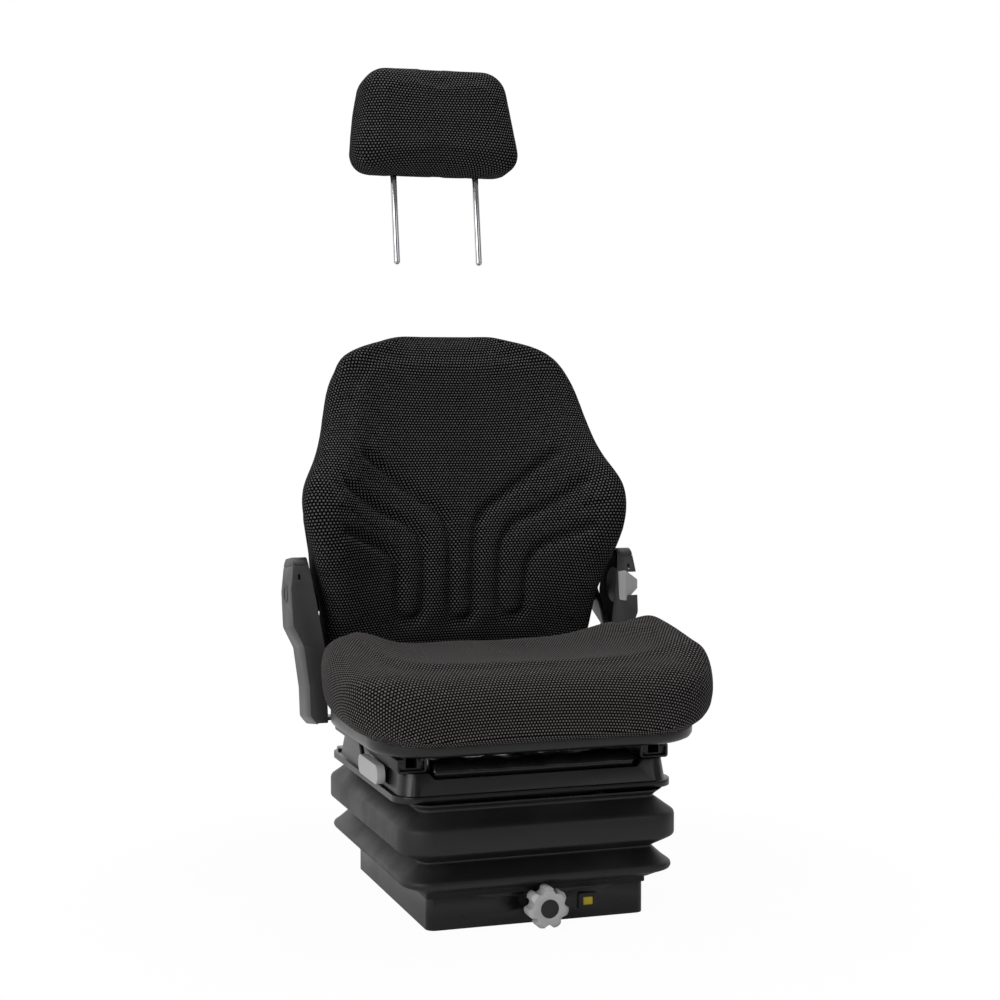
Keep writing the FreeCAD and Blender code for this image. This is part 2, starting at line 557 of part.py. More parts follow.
def make_gaiter():
    """A soft cover over the slide, between the rails, with one rounded fold at its front."""
    half, depth, rise = LEDGE_INNER_X - 4.5, 56.0, 21.0
    front, low = COVER_FRONT + 11, DECK_Z + CUSHION_GAP
    points = [(front, low), (front - 1, low + rise * 0.55), (front + 14, low + rise), (front + 38, low + rise - 2),
              (front + depth, low)]
    wire = outline(points, [2, 5, 8, 8, 2], "yz", -half)
    return Part.Face(wire).extrude(V(2 * half, 0, 0))


# Pan, brackets and seat cushion
def pan_outline(inset, z):
    half, rear_half = PAN_HALF_W - inset, PAN_REAR_HALF_W - inset
    front, rear, step = PAN_FRONT + inset, PAN_REAR - inset, PAN_STEP_Y - inset
    points = [(-half, front), (half, front), (half, step), (rear_half, step + 10), (rear_half, rear),
              (-rear_half, rear), (-rear_half, step + 10), (-half, step)]
    corner = PAN_CORNER - inset
    small, rear_corner = 8, PAN_REAR_CORNER - inset
    return outline(points, [corner, corner, small, small, rear_corner, rear_corner, small, small], "xy", z)


def rim_z(y):
    """The pan's rim, which rises towards the rear."""
    return PAN_RIM_FRONT_Z + PAN_RIM_RISE * (y - PAN_FRONT)


def above_rim():
    """The space above the rim's sloping plane."""
    space = box(-400, 400, -100, 700, 0, 200)
    space.rotate(V(0, 0, 0), V(1, 0, 0), math.degrees(math.atan(PAN_RIM_RISE)))
    space.translate(V(0, PAN_FRONT, PAN_RIM_FRONT_Z))
    return space


def pan_layers(inset, lift):
    """The pan's rounded side, from the floor up past the rim."""
    floor_z = UPPER_RAIL_TOP + lift
    steps = [(9.0, floor_z), (3.5, floor_z + 2.5), (0.5, floor_z + 7.0), (0.0, floor_z + 12.0),
             (0.0, floor_z + 60.0)]
    rings = [pan_outline(inset + inward, z) for inward, z in steps]
    return fuse([Part.makeLoft([a, b], True, True) for a, b in zip(rings, rings[1:])])


def make_seat_pan():
    """A pressed dish with a rounded side, a rim that rises to the rear, and slots in its floor."""
    dish = pan_layers(0.0, 0.0).cut(pan_layers(PAN_T, PAN_T)).cut(above_rim())
    floor_z = UPPER_RAIL_TOP
    slots = [prism(rectangle(60, -120, -104), 7.9, "xy", floor_z - 1, floor_z + 5),
             prism(rectangle(60, 60, 76), 7.9, "xy", floor_z - 1, floor_z + 5)]
    return dish.cut(slots)


def smooth(a, b, x):
    """A soft step from 0 at a to 1 at b."""
    t = max(0.0, min(1.0, (x - a) / (b - a)))
    return t * t * (3 - 2 * t)


def quarter(reach, x):
    """How far a quarter circle of radius reach has turned in at a distance x before its end."""
    t = max(0.0, min(1.0, 1 - x / reach))
    return reach * (1 - math.sqrt(1 - t * t))


def cushion_half_width(y):
    return CUSHION_HALF_W - quarter(CUSHION_CORNER, y - CUSHION_FRONT) - CUSHION_TAPER * smooth(-60.0, PAN_STEP_Y, y)


def cushion_section(y):
    """The seat cushion's outline across the seat at a place from front to rear."""
    half = cushion_half_width(y)
    roll = quarter(58.0, y - CUSHION_FRONT)
    bolster = CROWN_Z + (BOLSTER_Z - CROWN_Z) * smooth(-200.0, -20.0, y) - roll
    bolster -= 36.0 * smooth(60.0, 128.0, y) + 23.0 * smooth(128.0, CUSHION_REAR, y)
    middle = CROWN_Z + (HOLLOW_Z - CROWN_Z) * smooth(-210.0, -60.0, y) - roll
    middle -= 15.0 * smooth(115.0, CUSHION_REAR, y)
    low = rim_z(y) + 1.5
    tuck = half - 26.0
    body = bolster - low
    lifted = bolster - middle
    ring = [(0.0, middle), (half * 0.38, middle + lifted * 0.08), (half * 0.62, middle + lifted * 0.6),
            (half * 0.84, bolster), (half * 0.96, bolster - body * 0.14), (half, bolster - body * 0.45),
            (half - 8.0, low + body * 0.16), (tuck, low), (0.0, low - 1.0)]
    whole = ring + [(-x, z) for x, z in reversed(ring[1:-1])]
    return spline_ring([V(x, y, z) for x, z in whole])


def make_seat_cushion():
    """A cushion with raised sides, a hollow middle, a rounded front and cut-back rear corners."""
    turn = [0.0, 0.02, 0.1, 0.28, 0.6]
    stations = [CUSHION_FRONT + CUSHION_CORNER * t for t in turn] + [-130.0, -50.0, 45.0, 110.0, 138.0, CUSHION_REAR]
    upper = Part.makeLoft([cushion_section(y) for y in stations], True, False)
    gap = PAN_T + CUSHION_GAP
    lower = pan_layers(gap, gap).cut(above_rim())
    upper = upper.common(above_rim())
    body = lower.fuse(upper)
    corner_cut = box(CUSHION_REAR_HALF_W, CUSHION_HALF_W + 40, PAN_STEP_Y + 2, CUSHION_REAR + 20, 0,
                     BOLSTER_Z + 20)
    over = box(-400, 400, PAN_REAR - gap - 8, 400, 0, rim_z(PAN_REAR) + 1)
    return body.cut(both_sides(corner_cut)).cut(over)


def make_hinge_bracket(side):
    """An angle plate from under the pan, up inside the side cover, to the recline pivot."""
    x0, front, rear = BRACKET_X, RECLINE_Y - 16, RECLINE_Y + 18
    head = BRACKET_HEAD_R * 0.75
    plate = prism([(front, UPPER_RAIL_TOP), (rear, UPPER_RAIL_TOP), (RECLINE_Y + head, RECLINE_Z + head),
                   (RECLINE_Y - head, RECLINE_Z + head)], [0, 0, 12, 12], "yz", x0, x0 + BRACKET_T)
    flange_x = RAIL_X + RAIL_W / 2 - RAIL_T - RAIL_GAP + 2 * CUSHION_GAP
    foot = box(flange_x, x0 + BRACKET_T, front, rear, UPPER_RAIL_TOP - FOOT_T, UPPER_RAIL_TOP)
    bracket = fuse([plate, foot]).cut(pin("x", V(x0, RECLINE_Y, RECLINE_Z), PIVOT_BOLT_R, 40))
    return bracket if side > 0 else bracket.mirror(V(0, 0, 0), V(1, 0, 0))


def make_pivot_bolts():
    head = Part.makeCylinder(11, 5, V(SIDE_ARM_X + SIDE_ARM_T + SIDE_GAP, RECLINE_Y, RECLINE_Z), V(1, 0, 0))
    shank = Part.makeCylinder(PIVOT_BOLT_R, SIDE_ARM_X + SIDE_ARM_T + SIDE_GAP + 2 - BRACKET_X,
                              V(BRACKET_X, RECLINE_Y, RECLINE_Z), V(1, 0, 0))
    return group(both_sides(fuse([head, shank])))


# Backrest
def back_half_width(v):
    """Half the cushion's width at a height up the back, from the foot to the rounded top."""
    knots = [(38, 200), (56, 204), (80, 207), (118, 216), (150, 225), (183, 235), (215, 243), (250, 248), (272, 247), (290, 240),
             (309, 230), (339, 217), (373, 209), (403, 203), (430, 194), (448, 185), (466, 170), (480, 149),
             (490, 126), (498, 96), (502, 70), (504, 46)]
    for (v0, h0), (v1, h1) in zip(knots, knots[1:]):
        if v <= v1:
            return h0 + (h1 - h0) * (v - v0) / (v1 - v0)
    return knots[-1][1]


def wing_forward(v):
    """How far the wings stand forward of the middle at a height."""
    rise = math.exp(-((v - 235.0) / 110.0) ** 2)
    return WING_DEPTH * rise + 10.0


def back_front(v):
    """The middle of the front face: a little lumbar crown, falling back at the foot and at the top."""
    crown = 8.0 * math.exp(-((v - 170.0) / 90.0) ** 2)
    roll = max(0.0, (v - (BACK_TOP - 34.0)) / 34.0)
    foot = max(0.0, ((BACK_LOW + 22.0) - v) / 22.0)
    return BACK_FRONT + 10.0 - crown + 26.0 * roll ** 2 + 14.0 * foot ** 2


def wing_share(fraction):
    """How much of the wing's depth is reached at a fraction of the half width."""
    return max(0.0, min(1.0, (fraction - 0.28) / 0.62)) ** 1.7


def front_point(x, v):
    """A point on the cushion's front face, in the backrest's frame."""
    fraction = abs(x) / back_half_width(v)
    return back_front(v) - wing_forward(v) * wing_share(fraction)


def rear_share(v):
    """How wide the cushion's rear is beside its front: the upper body narrows to the rear."""
    return 0.93 - 0.12 * smooth(225.0, 310.0, v)


def back_section(v, sunk):
    """One level of the backrest cushion, or of its core that lies a little way inside it."""
    half = back_half_width(v) - sunk
    front = [(f * half, front_point(f * half, v) + sunk) for f in (0.0, 0.34, 0.62, 0.88)]
    lead = front[-1][1]
    rear = BACK_REAR - sunk - 14.0 * max(0.0, (v - (BACK_TOP - 24.0)) / 24.0) ** 2
    rear_half = min(half * rear_share(v), FRAME_HALF_W)
    knee = min((half + rear_half) / 2 + 2, FRAME_HALF_W + 2)
    widest = 0.34 - 0.12 * smooth(225.0, 310.0, v)
    side = [(half * 0.98, lead + 9.0), (half, lead + (rear - lead) * widest), (knee, lead + (rear - lead) * 0.74),
            (rear_half - 5, rear - 2.0), (rear_half * 0.6, rear), (0.0, rear)]
    half_ring = front + side
    ring = half_ring + [(-x, w) for x, w in reversed(half_ring[1:-1])]
    return spline_ring([V(x, w, v) for x, w in ring])


def groove_paths():
    """Three U-shaped channels as points (x, height): one in the middle and one each side of it."""
    fan = [(154, 328), (108, 293), (58, 255), (32, 236), (21, 212), (18, 170), (18, 118), (16, 90)]
    middle = fan + [(0, 75)] + [(-x, v) for x, v in reversed(fan)]
    side = [(186, 282), (144, 250), (92, 226), (70, 210), (60, 186), (58, 150), (59, 108), (66, 88), (78, 82),
            (90, 89), (97, 108), (98, 142), (104, 168), (122, 186), (154, 198), (190, 212)]
    return [middle, side, [(-x, v) for x, v in side]]


def ribbon(points, half_width, low, high):
    """A band of even width along a smooth line in the xz plane, extruded along y."""
    left, right = [], []
    for i, (x, v) in enumerate(points):
        before, after = points[max(i - 1, 0)], points[min(i + 1, len(points) - 1)]
        along = V(after[0] - before[0], 0, after[1] - before[1]).normalize()
        left.append(V(x - along.z * half_width, low, v + along.x * half_width))
        right.append(V(x + along.z * half_width, low, v - along.x * half_width))
    edges = []
    for side in (left, right):
        curve = Part.BSplineCurve()
        curve.interpolate(side)
        edges.append(curve.toShape())
    edges.append(Part.makeLine(left[0], right[0]))
    edges.append(Part.makeLine(left[-1], right[-1]))
    wire = Part.Wire(Part.__sortEdges__(edges))
    return Part.Face(wire).extrude(V(0, high - low, 0))


def make_backrest_cushion():
    """A winged cushion with three sunk U-shaped channels and two slots for the headrest guides."""
    heights = [BACK_LOW, 90, 140, 190, 235, 275, 315, 370, 430, 466, 486, 498, BACK_TOP]
    body = Part.makeLoft([back_section(v, 0.0) for v in heights], True, False)
    core = Part.makeLoft([back_section(v, GROOVE_DEPTH) for v in heights], True, False)
    for points in groove_paths():
        body = body.cut(ribbon(points, GROOVE_HALF_W, -WING_DEPTH * 2, BACK_FRONT + 40).cut(core))
    reach = GUIDE_SIZE / 2 + CUSHION_GAP
    slots = [box(x - reach, x + reach, ROD_W - reach, BACK_REAR + 10, GUIDE_LOW_V - 10, BACK_TOP + 20)
             for x in (-ROD_X, ROD_X)]
    behind = box(-CUSHION_HALF_W, CUSHION_HALF_W, BACK_REAR - SIDE_GAP, BACK_REAR + 40, 0, BACK_TOP + 20)
    return recline(body.cut(slots + [behind]))


def frame_outline(inset, plane_w):
    """The back frame's outline, a little inside the cushion's."""
    right = [(min(FRAME_HALF_W, back_half_width(v) * rear_share(v)) - inset, v)
             for v in (76, 150, 250, 345, 420, 460, 486)]
    points = right + [(-x, v) for x, v in reversed(right)]
    return outline(points, [20, 30, 60, 60, 60, 24, 24, 24, 24, 60, 60, 60, 30, 20], "xz", plane_w)


def make_backrest_frame():
    """A pressed steel back, with a side arm each side down to the recline pivot."""
    low = BACK_REAR + CUSHION_GAP
    high = low + FRAME_T
    back = Part.Face(frame_outline(0, low)).extrude(V(0, FRAME_T, 0))
    arm = prism([(-17, -14), (14, -17), (30, 60), (high, 96), (high, 166), (low - 12, 172), (66, 140), (0, 40),
                 (-17, 10)], [12, 12, 20, 10, 6, 6, 30, 20, 12], "yz", SIDE_ARM_X, SIDE_ARM_X + SIDE_ARM_T)
    arm = arm.cut(pin("x", V(SIDE_ARM_X, 0, 0), PIVOT_BOLT_R + RUNNING, 40))
    flange = box(180, SIDE_ARM_X + SIDE_ARM_T, low, high, 100, 164)
    return recline(fuse([back] + both_sides(arm) + both_sides(flange)))


def make_back_shell():
    """The plastic back: a shallow dished cover with upright ribs pressed in it."""
    low = BACK_REAR + CUSHION_GAP + FRAME_T
    outer = Part.makeLoft([frame_outline(0, low), frame_outline(3, low + 10), frame_outline(16, low + 20)], True, True)
    inner = Part.makeLoft([frame_outline(SHELL_T, low - 1), frame_outline(3 + SHELL_T, low + 8),
                           frame_outline(16 + SHELL_T, low + 20 - SHELL_T)], True, True)
    shell = outer.cut(inner)
    ribs = []
    for x in (-100, -50, 0, 50, 100):
        ribs.append(prism([(x - 5, 130), (x + 5, 130), (x + 5, 400), (x - 5, 400)], 4.9, "xz", low + 18.5, low + 24))
    return recline(shell.cut(ribs))


def side_cover_outline(inset):
    """The cover seen from the side, in the backrest's frame (rearward, up)."""
    points = [(COVER_FRONT_W + inset, COVER_LOW_V), (COVER_BACK_W - inset, COVER_LOW_V),
              (COVER_BACK_W - inset, 60), (COVER_BACK_W - 6 - inset, COVER_TOP_V - inset),
              (COVER_FRONT_W + 4 + inset, COVER_TOP_V - inset), (COVER_FRONT_W + inset, 140)]
    return points, [6 if inset == 0 else 4, 6 if inset == 0 else 4, 20, 14, 14, 20]


def side_cover_solid(inset):
    """The outer face follows a front profile: upright above, stepping inward at the foot."""
    points, radii = side_cover_outline(inset)
    if inset:
        points = [(a, b - 2 * inset if b == COVER_LOW_V else b) for a, b in points]
    slab = prism(points, radii, "yz", 200, 270)
    face, foot = COVER_FACE_X - inset, COVER_FOOT_X - inset
    inner_top, inner_low = COVER_INNER_TOP_X, COVER_INNER_LOW_X
    front = [(inner_low, COVER_LOW_V - 20), (foot - 24, COVER_LOW_V - 20), (foot, COVER_LOW_V + 12), (foot, -10), (foot + 6, 48), (face, 78),
             (face + 1, 130), (face - 6, COVER_TOP_V + 10), (inner_top, COVER_TOP_V + 10), (inner_top, 170),
             (inner_low + 10, 110), (inner_low, 40)]
    profile = prism(front, [0, 0, 8, 20, 14, 14, 30, 0, 0, 0, 30, 30], "xz", COVER_FRONT_W - 20, COVER_BACK_W + 20)
    return slab.common(profile)


def make_side_cover(side):
    outer = side_cover_solid(0.0)
    inner = side_cover_solid(SIDE_COVER_WALL)
    room = inner.copy()
    room.translate(V(-14, 0, 0))
    cover = outer.cut(fuse([inner, room]))
    groove = box(200, 270, COVER_FRONT_W - 2, COVER_BACK_W + 10, COVER_TOP_V - 12.6, COVER_TOP_V - 11.4)
    skin = side_cover_solid(0.8)
    cover = cover.cut(groove.cut(skin))
    slot = box(COVER_FACE_X - 13, COVER_FACE_X - 9.5, COVER_FRONT_W - 5, COVER_FRONT_W + 5, 143, 151)
    arm_way = box(200, SIDE_ARM_X + SIDE_ARM_T + CUSHION_GAP, 20, COVER_BACK_W + 10, 55, 175)
    cover = cover.cut([slot, arm_way])
    if side < 0:
        cover = cover.cut(pin("x", V(COVER_FACE_X, PLUG_W, PLUG_V), PLUG_R, 10))
        cover = cover.mirror(V(0, 0, 0), V(1, 0, 0))
    else:
        floor_x = LUMBAR_INNER_X - CUSHION_GAP
        cover = cover.cut(Part.makeCylinder(LUMBAR_R + LUMBAR_GAP, 60, V(floor_x, LUMBAR_W, LUMBAR_V), V(1, 0, 0)))
        pocket_floor = Part.makeCylinder(LUMBAR_R + LUMBAR_GAP + 1, 2, V(floor_x - 2, LUMBAR_W, LUMBAR_V), V(1, 0, 0))
        cover = fuse([cover, pocket_floor.common(side_cover_slab())])
    return recline(cover)


def side_cover_slab():
    points, radii = side_cover_outline(0.0)
    return prism(points, radii, "yz", 200, 270)


def make_cover_plug():
    """The round plug that closes the armrest hole of the left cover."""
    plug = Part.makeCylinder(PLUG_R, 5 + PLUG_T, V(-COVER_FACE_X - PLUG_T, PLUG_W, PLUG_V), V(1, 0, 0))
    ring = Part.makeCylinder(PLUG_R - 2.5, 1, V(-COVER_FACE_X - PLUG_T, PLUG_W, PLUG_V), V(1, 0, 0))
    return recline(plug.cut(ring))


def make_lumbar_knob():
    """A round knob on the right cover, tapering to a flat wing."""
    x0, x1 = LUMBAR_INNER_X, LUMBAR_TIP_X
    profile = [V(x0, 0, 0), V(x0, 0, LUMBAR_R - 1.5), V(x0 + 1.5, 0, LUMBAR_R), V(x0 + 22, 0, LUMBAR_R),
               V(x0 + 25, 0, LUMBAR_R - 3), V(x1 - 3, 0, 9.5), V(x1, 0, 7.0), V(x1, 0, 0), V(x0, 0, 0)]
    body = Part.Face(Part.makePolygon(profile)).revolve(V(0, 0, 0), V(1, 0, 0), 360)
    for sign in (-1, 1):
        side = box(x0 + 20, x1 + 5, 6.5, 40, -40, 40) if sign > 0 else box(x0 + 20, x1 + 5, -40, -6.5, -40, 40)
        body = body.cut(side)
    body.translate(V(0, LUMBAR_W, LUMBAR_V))
    return recline(body)


# Headrest
def make_guide(side):
    """A square guide on the back frame, with a round collar on top of the cushion."""
    x, half = side * ROD_X, GUIDE_SIZE / 2
    block = box(x - half, x + half, ROD_W - half, BACK_REAR + CUSHION_GAP, GUIDE_LOW_V, GUIDE_TOP_V)
    collar = Part.makeCylinder(COLLAR_R, COLLAR_T, V(x, ROD_W, GUIDE_TOP_V))
    bore = Part.makeCylinder(ROD_R + ROD_FIT, 400, V(x, ROD_W, GUIDE_LOW_V - 100))
    return recline(fuse([block, collar]).cut(bore))


def make_headrest_rods():
    rods = []
    for x in (-ROD_X, ROD_X):
        rod = Part.makeCylinder(ROD_R, ROD_LENGTH - ROD_R, V(x, ROD_W, ROD_LOW_V + ROD_R))
        rods.append(fuse([rod, Part.makeSphere(ROD_R, V(x, ROD_W, ROD_LOW_V + ROD_R))]))
    return recline(group(rods))


def make_headrest_pad():
    """A padded block, narrower at the top, rounded all round, with a hole for each rod."""
    high = PAD_LOW_V + PAD_H
    pad = prism([(-PAD_LOW_HALF_W, PAD_LOW_V), (PAD_LOW_HALF_W, PAD_LOW_V), (PAD_TOP_HALF_W, high),
                 (-PAD_TOP_HALF_W, high)], [32, 32, 42, 42], "xz", PAD_FRONT_W, PAD_BACK_W)
    rims = [edge for edge in pad.Edges if abs(edge.BoundBox.YLength) < 0.01]
    pad = pad.makeFillet(PAD_ROUND, rims)
    for x in (-ROD_X, ROD_X):
        pad = pad.cut(Part.makeCylinder(ROD_R, ROD_IN_PAD + 1, V(x, ROD_W, PAD_LOW_V - 1)))
    return recline(pad)


# Levers
def make_slide_lever():
    """The bar that lifts the slide catch, cranked out from the upper rail and down beside the cover."""
    rail_side = RAIL_X + RAIL_SLOT / 2 - RAIL_GAP + CUSHION_GAP
    return bent_rod([V(-rail_side, LEVER_PIVOT_Y, LEVER_PIVOT_Z), V(-LEVER_X, LEVER_PIVOT_Y, LEVER_PIVOT_Z),
                     V(-LEVER_X, LEVER_PIVOT_Y - 22, PADDLE_Z + 6), V(-LEVER_X, PADDLE_Y - 20, PADDLE_Z)], LEVER_R, 8)


def make_slide_paddle():
    """The pale oval grip plate pushed onto the lever's end."""
    half_l, half_h, x1 = PADDLE_L / 2, PADDLE_H / 2, PADDLE_T / 2 - LEVER_X
    y0, y1, z0, z1 = PADDLE_Y - half_l, PADDLE_Y + half_l, PADDLE_Z - half_h, PADDLE_Z + half_h
    plate = prism([(y0, z0), (y1, z0), (y1, z1), (y0, z1)], half_h - 0.2, "yz", x1 - PADDLE_T, x1)
    return plate.cut(make_slide_lever())


def make_recline_lever():
    """The flat lever under the right-hand side cover, with a round grip at its front."""
    x0, x1 = RECLINE_LEVER_X, RECLINE_LEVER_X + 4
    y, z = RECLINE_PIN_Y, RECLINE_PIN_Z
    plate = prism([(y + 14, z + 9), (y - 12, z + 8), (y - 50, z - 12), (y - 50, z - 24), (y - 8, z - 12),
                   (y + 14, z - 9)], [8, 10, 4, 4, 10, 8], "yz", x0, x1)
    plate = plate.cut(pin("x", V(x0, y, z), AXLE_R + RUNNING, 20))
    grip = tube(V(x0 + 2, y - 44, z - 18), V(x0 + 2, y - 118, z - 18), 6.5)
    return fuse([plate, grip])


def make_recline_pin():
    wall = PAN_HALF_W
    shank = Part.makeCylinder(AXLE_R, RECLINE_LEVER_X + 4 + SIDE_GAP - wall, V(wall, RECLINE_PIN_Y, RECLINE_PIN_Z),
                              V(1, 0, 0))
    head = Part.makeCylinder(AXLE_R + 3, 3, V(RECLINE_LEVER_X + 4 + SIDE_GAP, RECLINE_PIN_Y, RECLINE_PIN_Z), V(1, 0, 0))
    return fuse([shank, head])


def scissor_nodes():
    """Arms, tubes, pins and rollers of the scissor, at the top of its travel."""
    nodes = {}
    half_arm = ARM_LENGTH / 2
    outer_holes = [(0, PIVOT_R + RUNNING), (half_arm, PIVOT_R)]
    inner_holes = [(0, PIVOT_R + OPEN_PIVOT_GAP), (half_arm, PIVOT_R + RUNNING)]
    outer = make_arm(OUTER_ARM_X, 1, LOW_PIVOT_Z, outer_holes)
    inner = make_arm(INNER_ARM_X, -1, TOP_PIVOT_Z, inner_holes,
                     tab=(ARM_LENGTH - SPRING_TUBE_FROM_END, SPRING_TUBE_RAISE, CROSS_TUBE_R + 3))
    tube_point = arm_point(CROSS_TUBE_FROM_PIVOT, START_ANGLE, 1, LOW_PIVOT_Z)
    spring_point = spring_tube_point()
    nodes["outer_cross_tube"] = make_cross_tube(tube_point, OUTER_ARM_X)
    nodes["inner_cross_tube"] = make_cross_tube(spring_point, INNER_ARM_X)
    nodes["outer_arm_right"], nodes["outer_arm_left"] = both_sides(outer)
    nodes["inner_arm_right"], nodes["inner_arm_left"] = both_sides(inner)
    nodes["rear_pivot_shaft"] = pin("x", V(0, PIVOT_Y, LOW_PIVOT_Z), PIVOT_R,
                                    2 * (OUTER_ARM_X + ARM_T + SIDE_GAP + LUG_T))
    y, z = arm_point(half_arm, START_ANGLE, 1, LOW_PIVOT_Z)
    centre = Part.makeCylinder(PIVOT_R, OUTER_ARM_X + ARM_T - INNER_ARM_X, V(INNER_ARM_X, y, z), V(1, 0, 0))
    nodes["centre_pins"] = group(both_sides(centre))
    nodes["upper_lugs"] = make_upper_lugs()
    for name, x, z in (("upper", OUTER_ARM_X + ARM_T, TOP_PIVOT_Z), ("lower", INNER_ARM_X + ARM_T, LOW_PIVOT_Z)):
        stub = Part.makeCylinder(AXLE_R, ROLLER_X + ROLLER_W + 2 - x, V(x, FRONT_Y, z), V(1, 0, 0))
        roller = Part.makeCylinder(ROLLER_R, ROLLER_W, V(ROLLER_X, FRONT_Y, z), V(1, 0, 0))
        roller = roller.cut(Part.makeCylinder(AXLE_R + RUNNING, 4 * ROLLER_W, V(ROLLER_X - ROLLER_W, FRONT_Y, z),
                                              V(1, 0, 0)))
        nodes[name + "_stub_axles"] = group(both_sides(stub))
        nodes[name + "_rollers"] = group(both_sides(roller))
    return nodes


def spring_tube_point():
    """The centre of the tube that the springs pull, near the inner arms' front ends."""
    distance = ARM_LENGTH - SPRING_TUBE_FROM_END
    return arm_point(distance, START_ANGLE, -1, TOP_PIVOT_Z, SPRING_TUBE_RAISE)


def spring_nodes():
    tube_y, tube_z = spring_tube_point()
    nodes = {}
    for name, side in (("spring_right", 1), ("spring_left", -1)):
        x = side * SPRING_X
        front_centre = V(x, tube_y, tube_z)
        rear_centre = V(x, BRIDGE_Y, KNOB_Z)
        along = (rear_centre - front_centre).normalize()
        start = front_centre + along * (CROSS_TUBE_R + SPRING_SEAT_GAP + 0.2)
        end = rear_centre - along * (BRIDGE_T / 2 + SPRING_SEAT_GAP + 0.9)
        nodes[name] = make_spring(start, end)
    return nodes


def all_nodes():
    nodes = {
        "base_tub": make_base_tub(),
        "weld_nuts": make_weld_nuts(),
        "bump_stops": make_bump_stops(),
        "bellows": make_bellows(),
        "window_bezel": make_bezel(),
        "weight_window": make_window(),
        "weight_pointer": make_pointer(),
        "weight_knob": make_weight_knob(),
        "weight_knob_cap": make_knob_cap(),
        "weight_spindle": make_spindle(),
        "spring_bridge": make_spring_bridge(),
        "damper_tube": make_damper_tube(),
        "damper_rod": make_damper_rod(),
        "damper_arm_pin": make_damper_arm_pin(),
        "damper_bracket": make_damper_bracket(),
        "suspension_cover": make_suspension_cover(),
        "slide_gaiter": make_gaiter(),
        "seat_pan": make_seat_pan(),
        "seat_cushion": make_seat_cushion(),
        "pivot_bolts": make_pivot_bolts(),
        "backrest_cushion": make_backrest_cushion(),
        "backrest_frame": make_backrest_frame(),
        "back_shell": make_back_shell(),
        "side_cover_plug": make_cover_plug(),
        "lumbar_knob": make_lumbar_knob(),
        "headrest_rods": make_headrest_rods(),
        "headrest_pad": make_headrest_pad(),
        "slide_lever": make_slide_lever(),
        "slide_paddle": make_slide_paddle(),
        "recline_lever": make_recline_lever(),
        "recline_pin": make_recline_pin(),
    }
    nodes.update(scissor_nodes())
    nodes.update(spring_nodes())
    for name, side in (("right", 1), ("left", -1)):
        nodes["lower_track_" + name] = make_track(side, LOW_PIVOT_Z, ROLLER_GAP)
        nodes["upper_track_" + name] = make_track(side, TOP_PIVOT_Z, TOP_ROLLER_GAP, DECK_Z - DECK_T)
        nodes["lower_rail_" + name] = make_lower_rail(side)
        nodes["upper_rail_" + name] = make_upper_rail(side)
        nodes["hinge_bracket_" + name] = make_hinge_bracket(side)
        nodes["side_cover_" + name] = make_side_cover(side)
        nodes["headrest_guide_" + name] = make_guide(side)
    return nodes


def main():
    os.makedirs("parts", exist_ok=True)
    for name, shape in sorted(all_nodes().items()):
        if not shape.isValid():
            print("not valid:", name)
        print(name, "solids", len(shape.Solids), "volume_cm3", round(shape.Volume / 1000, 2))
        shape.exportStep(os.path.join("parts", name + ".step"))


main()
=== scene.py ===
# %% [markdown]
# # A tractor suspension seat
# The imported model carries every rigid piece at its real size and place. This lesson dresses it: a
# knitted cover over foam, moulded plastic, painted steel and a rubber bellows. At the end comes a studio
# that shows black on white.

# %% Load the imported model
import math
import bpy
import numpy as np
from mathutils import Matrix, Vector, noise
from mathutils.bvhtree import BVHTree


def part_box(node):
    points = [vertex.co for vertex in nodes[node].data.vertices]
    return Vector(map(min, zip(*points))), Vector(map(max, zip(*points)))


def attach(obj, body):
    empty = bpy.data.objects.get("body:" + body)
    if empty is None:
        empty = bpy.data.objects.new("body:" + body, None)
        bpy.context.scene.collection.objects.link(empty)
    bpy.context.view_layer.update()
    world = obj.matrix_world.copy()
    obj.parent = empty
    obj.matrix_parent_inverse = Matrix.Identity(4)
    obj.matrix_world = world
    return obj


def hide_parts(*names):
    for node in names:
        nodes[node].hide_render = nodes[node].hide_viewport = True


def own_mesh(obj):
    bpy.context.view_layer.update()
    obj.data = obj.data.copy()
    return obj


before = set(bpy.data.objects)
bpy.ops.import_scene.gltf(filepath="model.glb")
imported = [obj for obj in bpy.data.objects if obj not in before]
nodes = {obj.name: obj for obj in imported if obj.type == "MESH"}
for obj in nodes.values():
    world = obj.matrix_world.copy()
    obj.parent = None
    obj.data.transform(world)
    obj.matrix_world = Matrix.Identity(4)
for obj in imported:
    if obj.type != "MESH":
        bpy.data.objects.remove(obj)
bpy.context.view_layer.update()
MM = 0.001
print("CAD nodes:", len(nodes))

# %% [markdown]
# The camera stands low in front of the seat and a little to its left, with a long lens, as in a catalogue
# picture. It comes first, because every later choice is judged through it.

# %% Place the camera
CAMERA_PLACE = (-0.8795, -2.6581, 0.7316)
CAMERA_TURN = (86.35, 0.0, -18.45)
LENS, SENSOR = 72.0, 36.0

camera_data = bpy.data.cameras.new("seat_camera")
camera_data.lens = LENS
camera_data.sensor_width = SENSOR
camera_data.sensor_fit = "HORIZONTAL"
camera = bpy.data.objects.new("seat_camera", camera_data)
camera.location = CAMERA_PLACE
camera.rotation_euler = [math.radians(a) for a in CAMERA_TURN]
bpy.context.scene.collection.objects.link(camera)
bpy.context.scene.camera = camera
print("camera turned by", CAMERA_TURN)

# %% [markdown]
# Shader groups hold the effects that several finishes share. Each one only works out a mask or a height;
# the shader that uses it stays in its own material. A few small helpers keep the node code short.

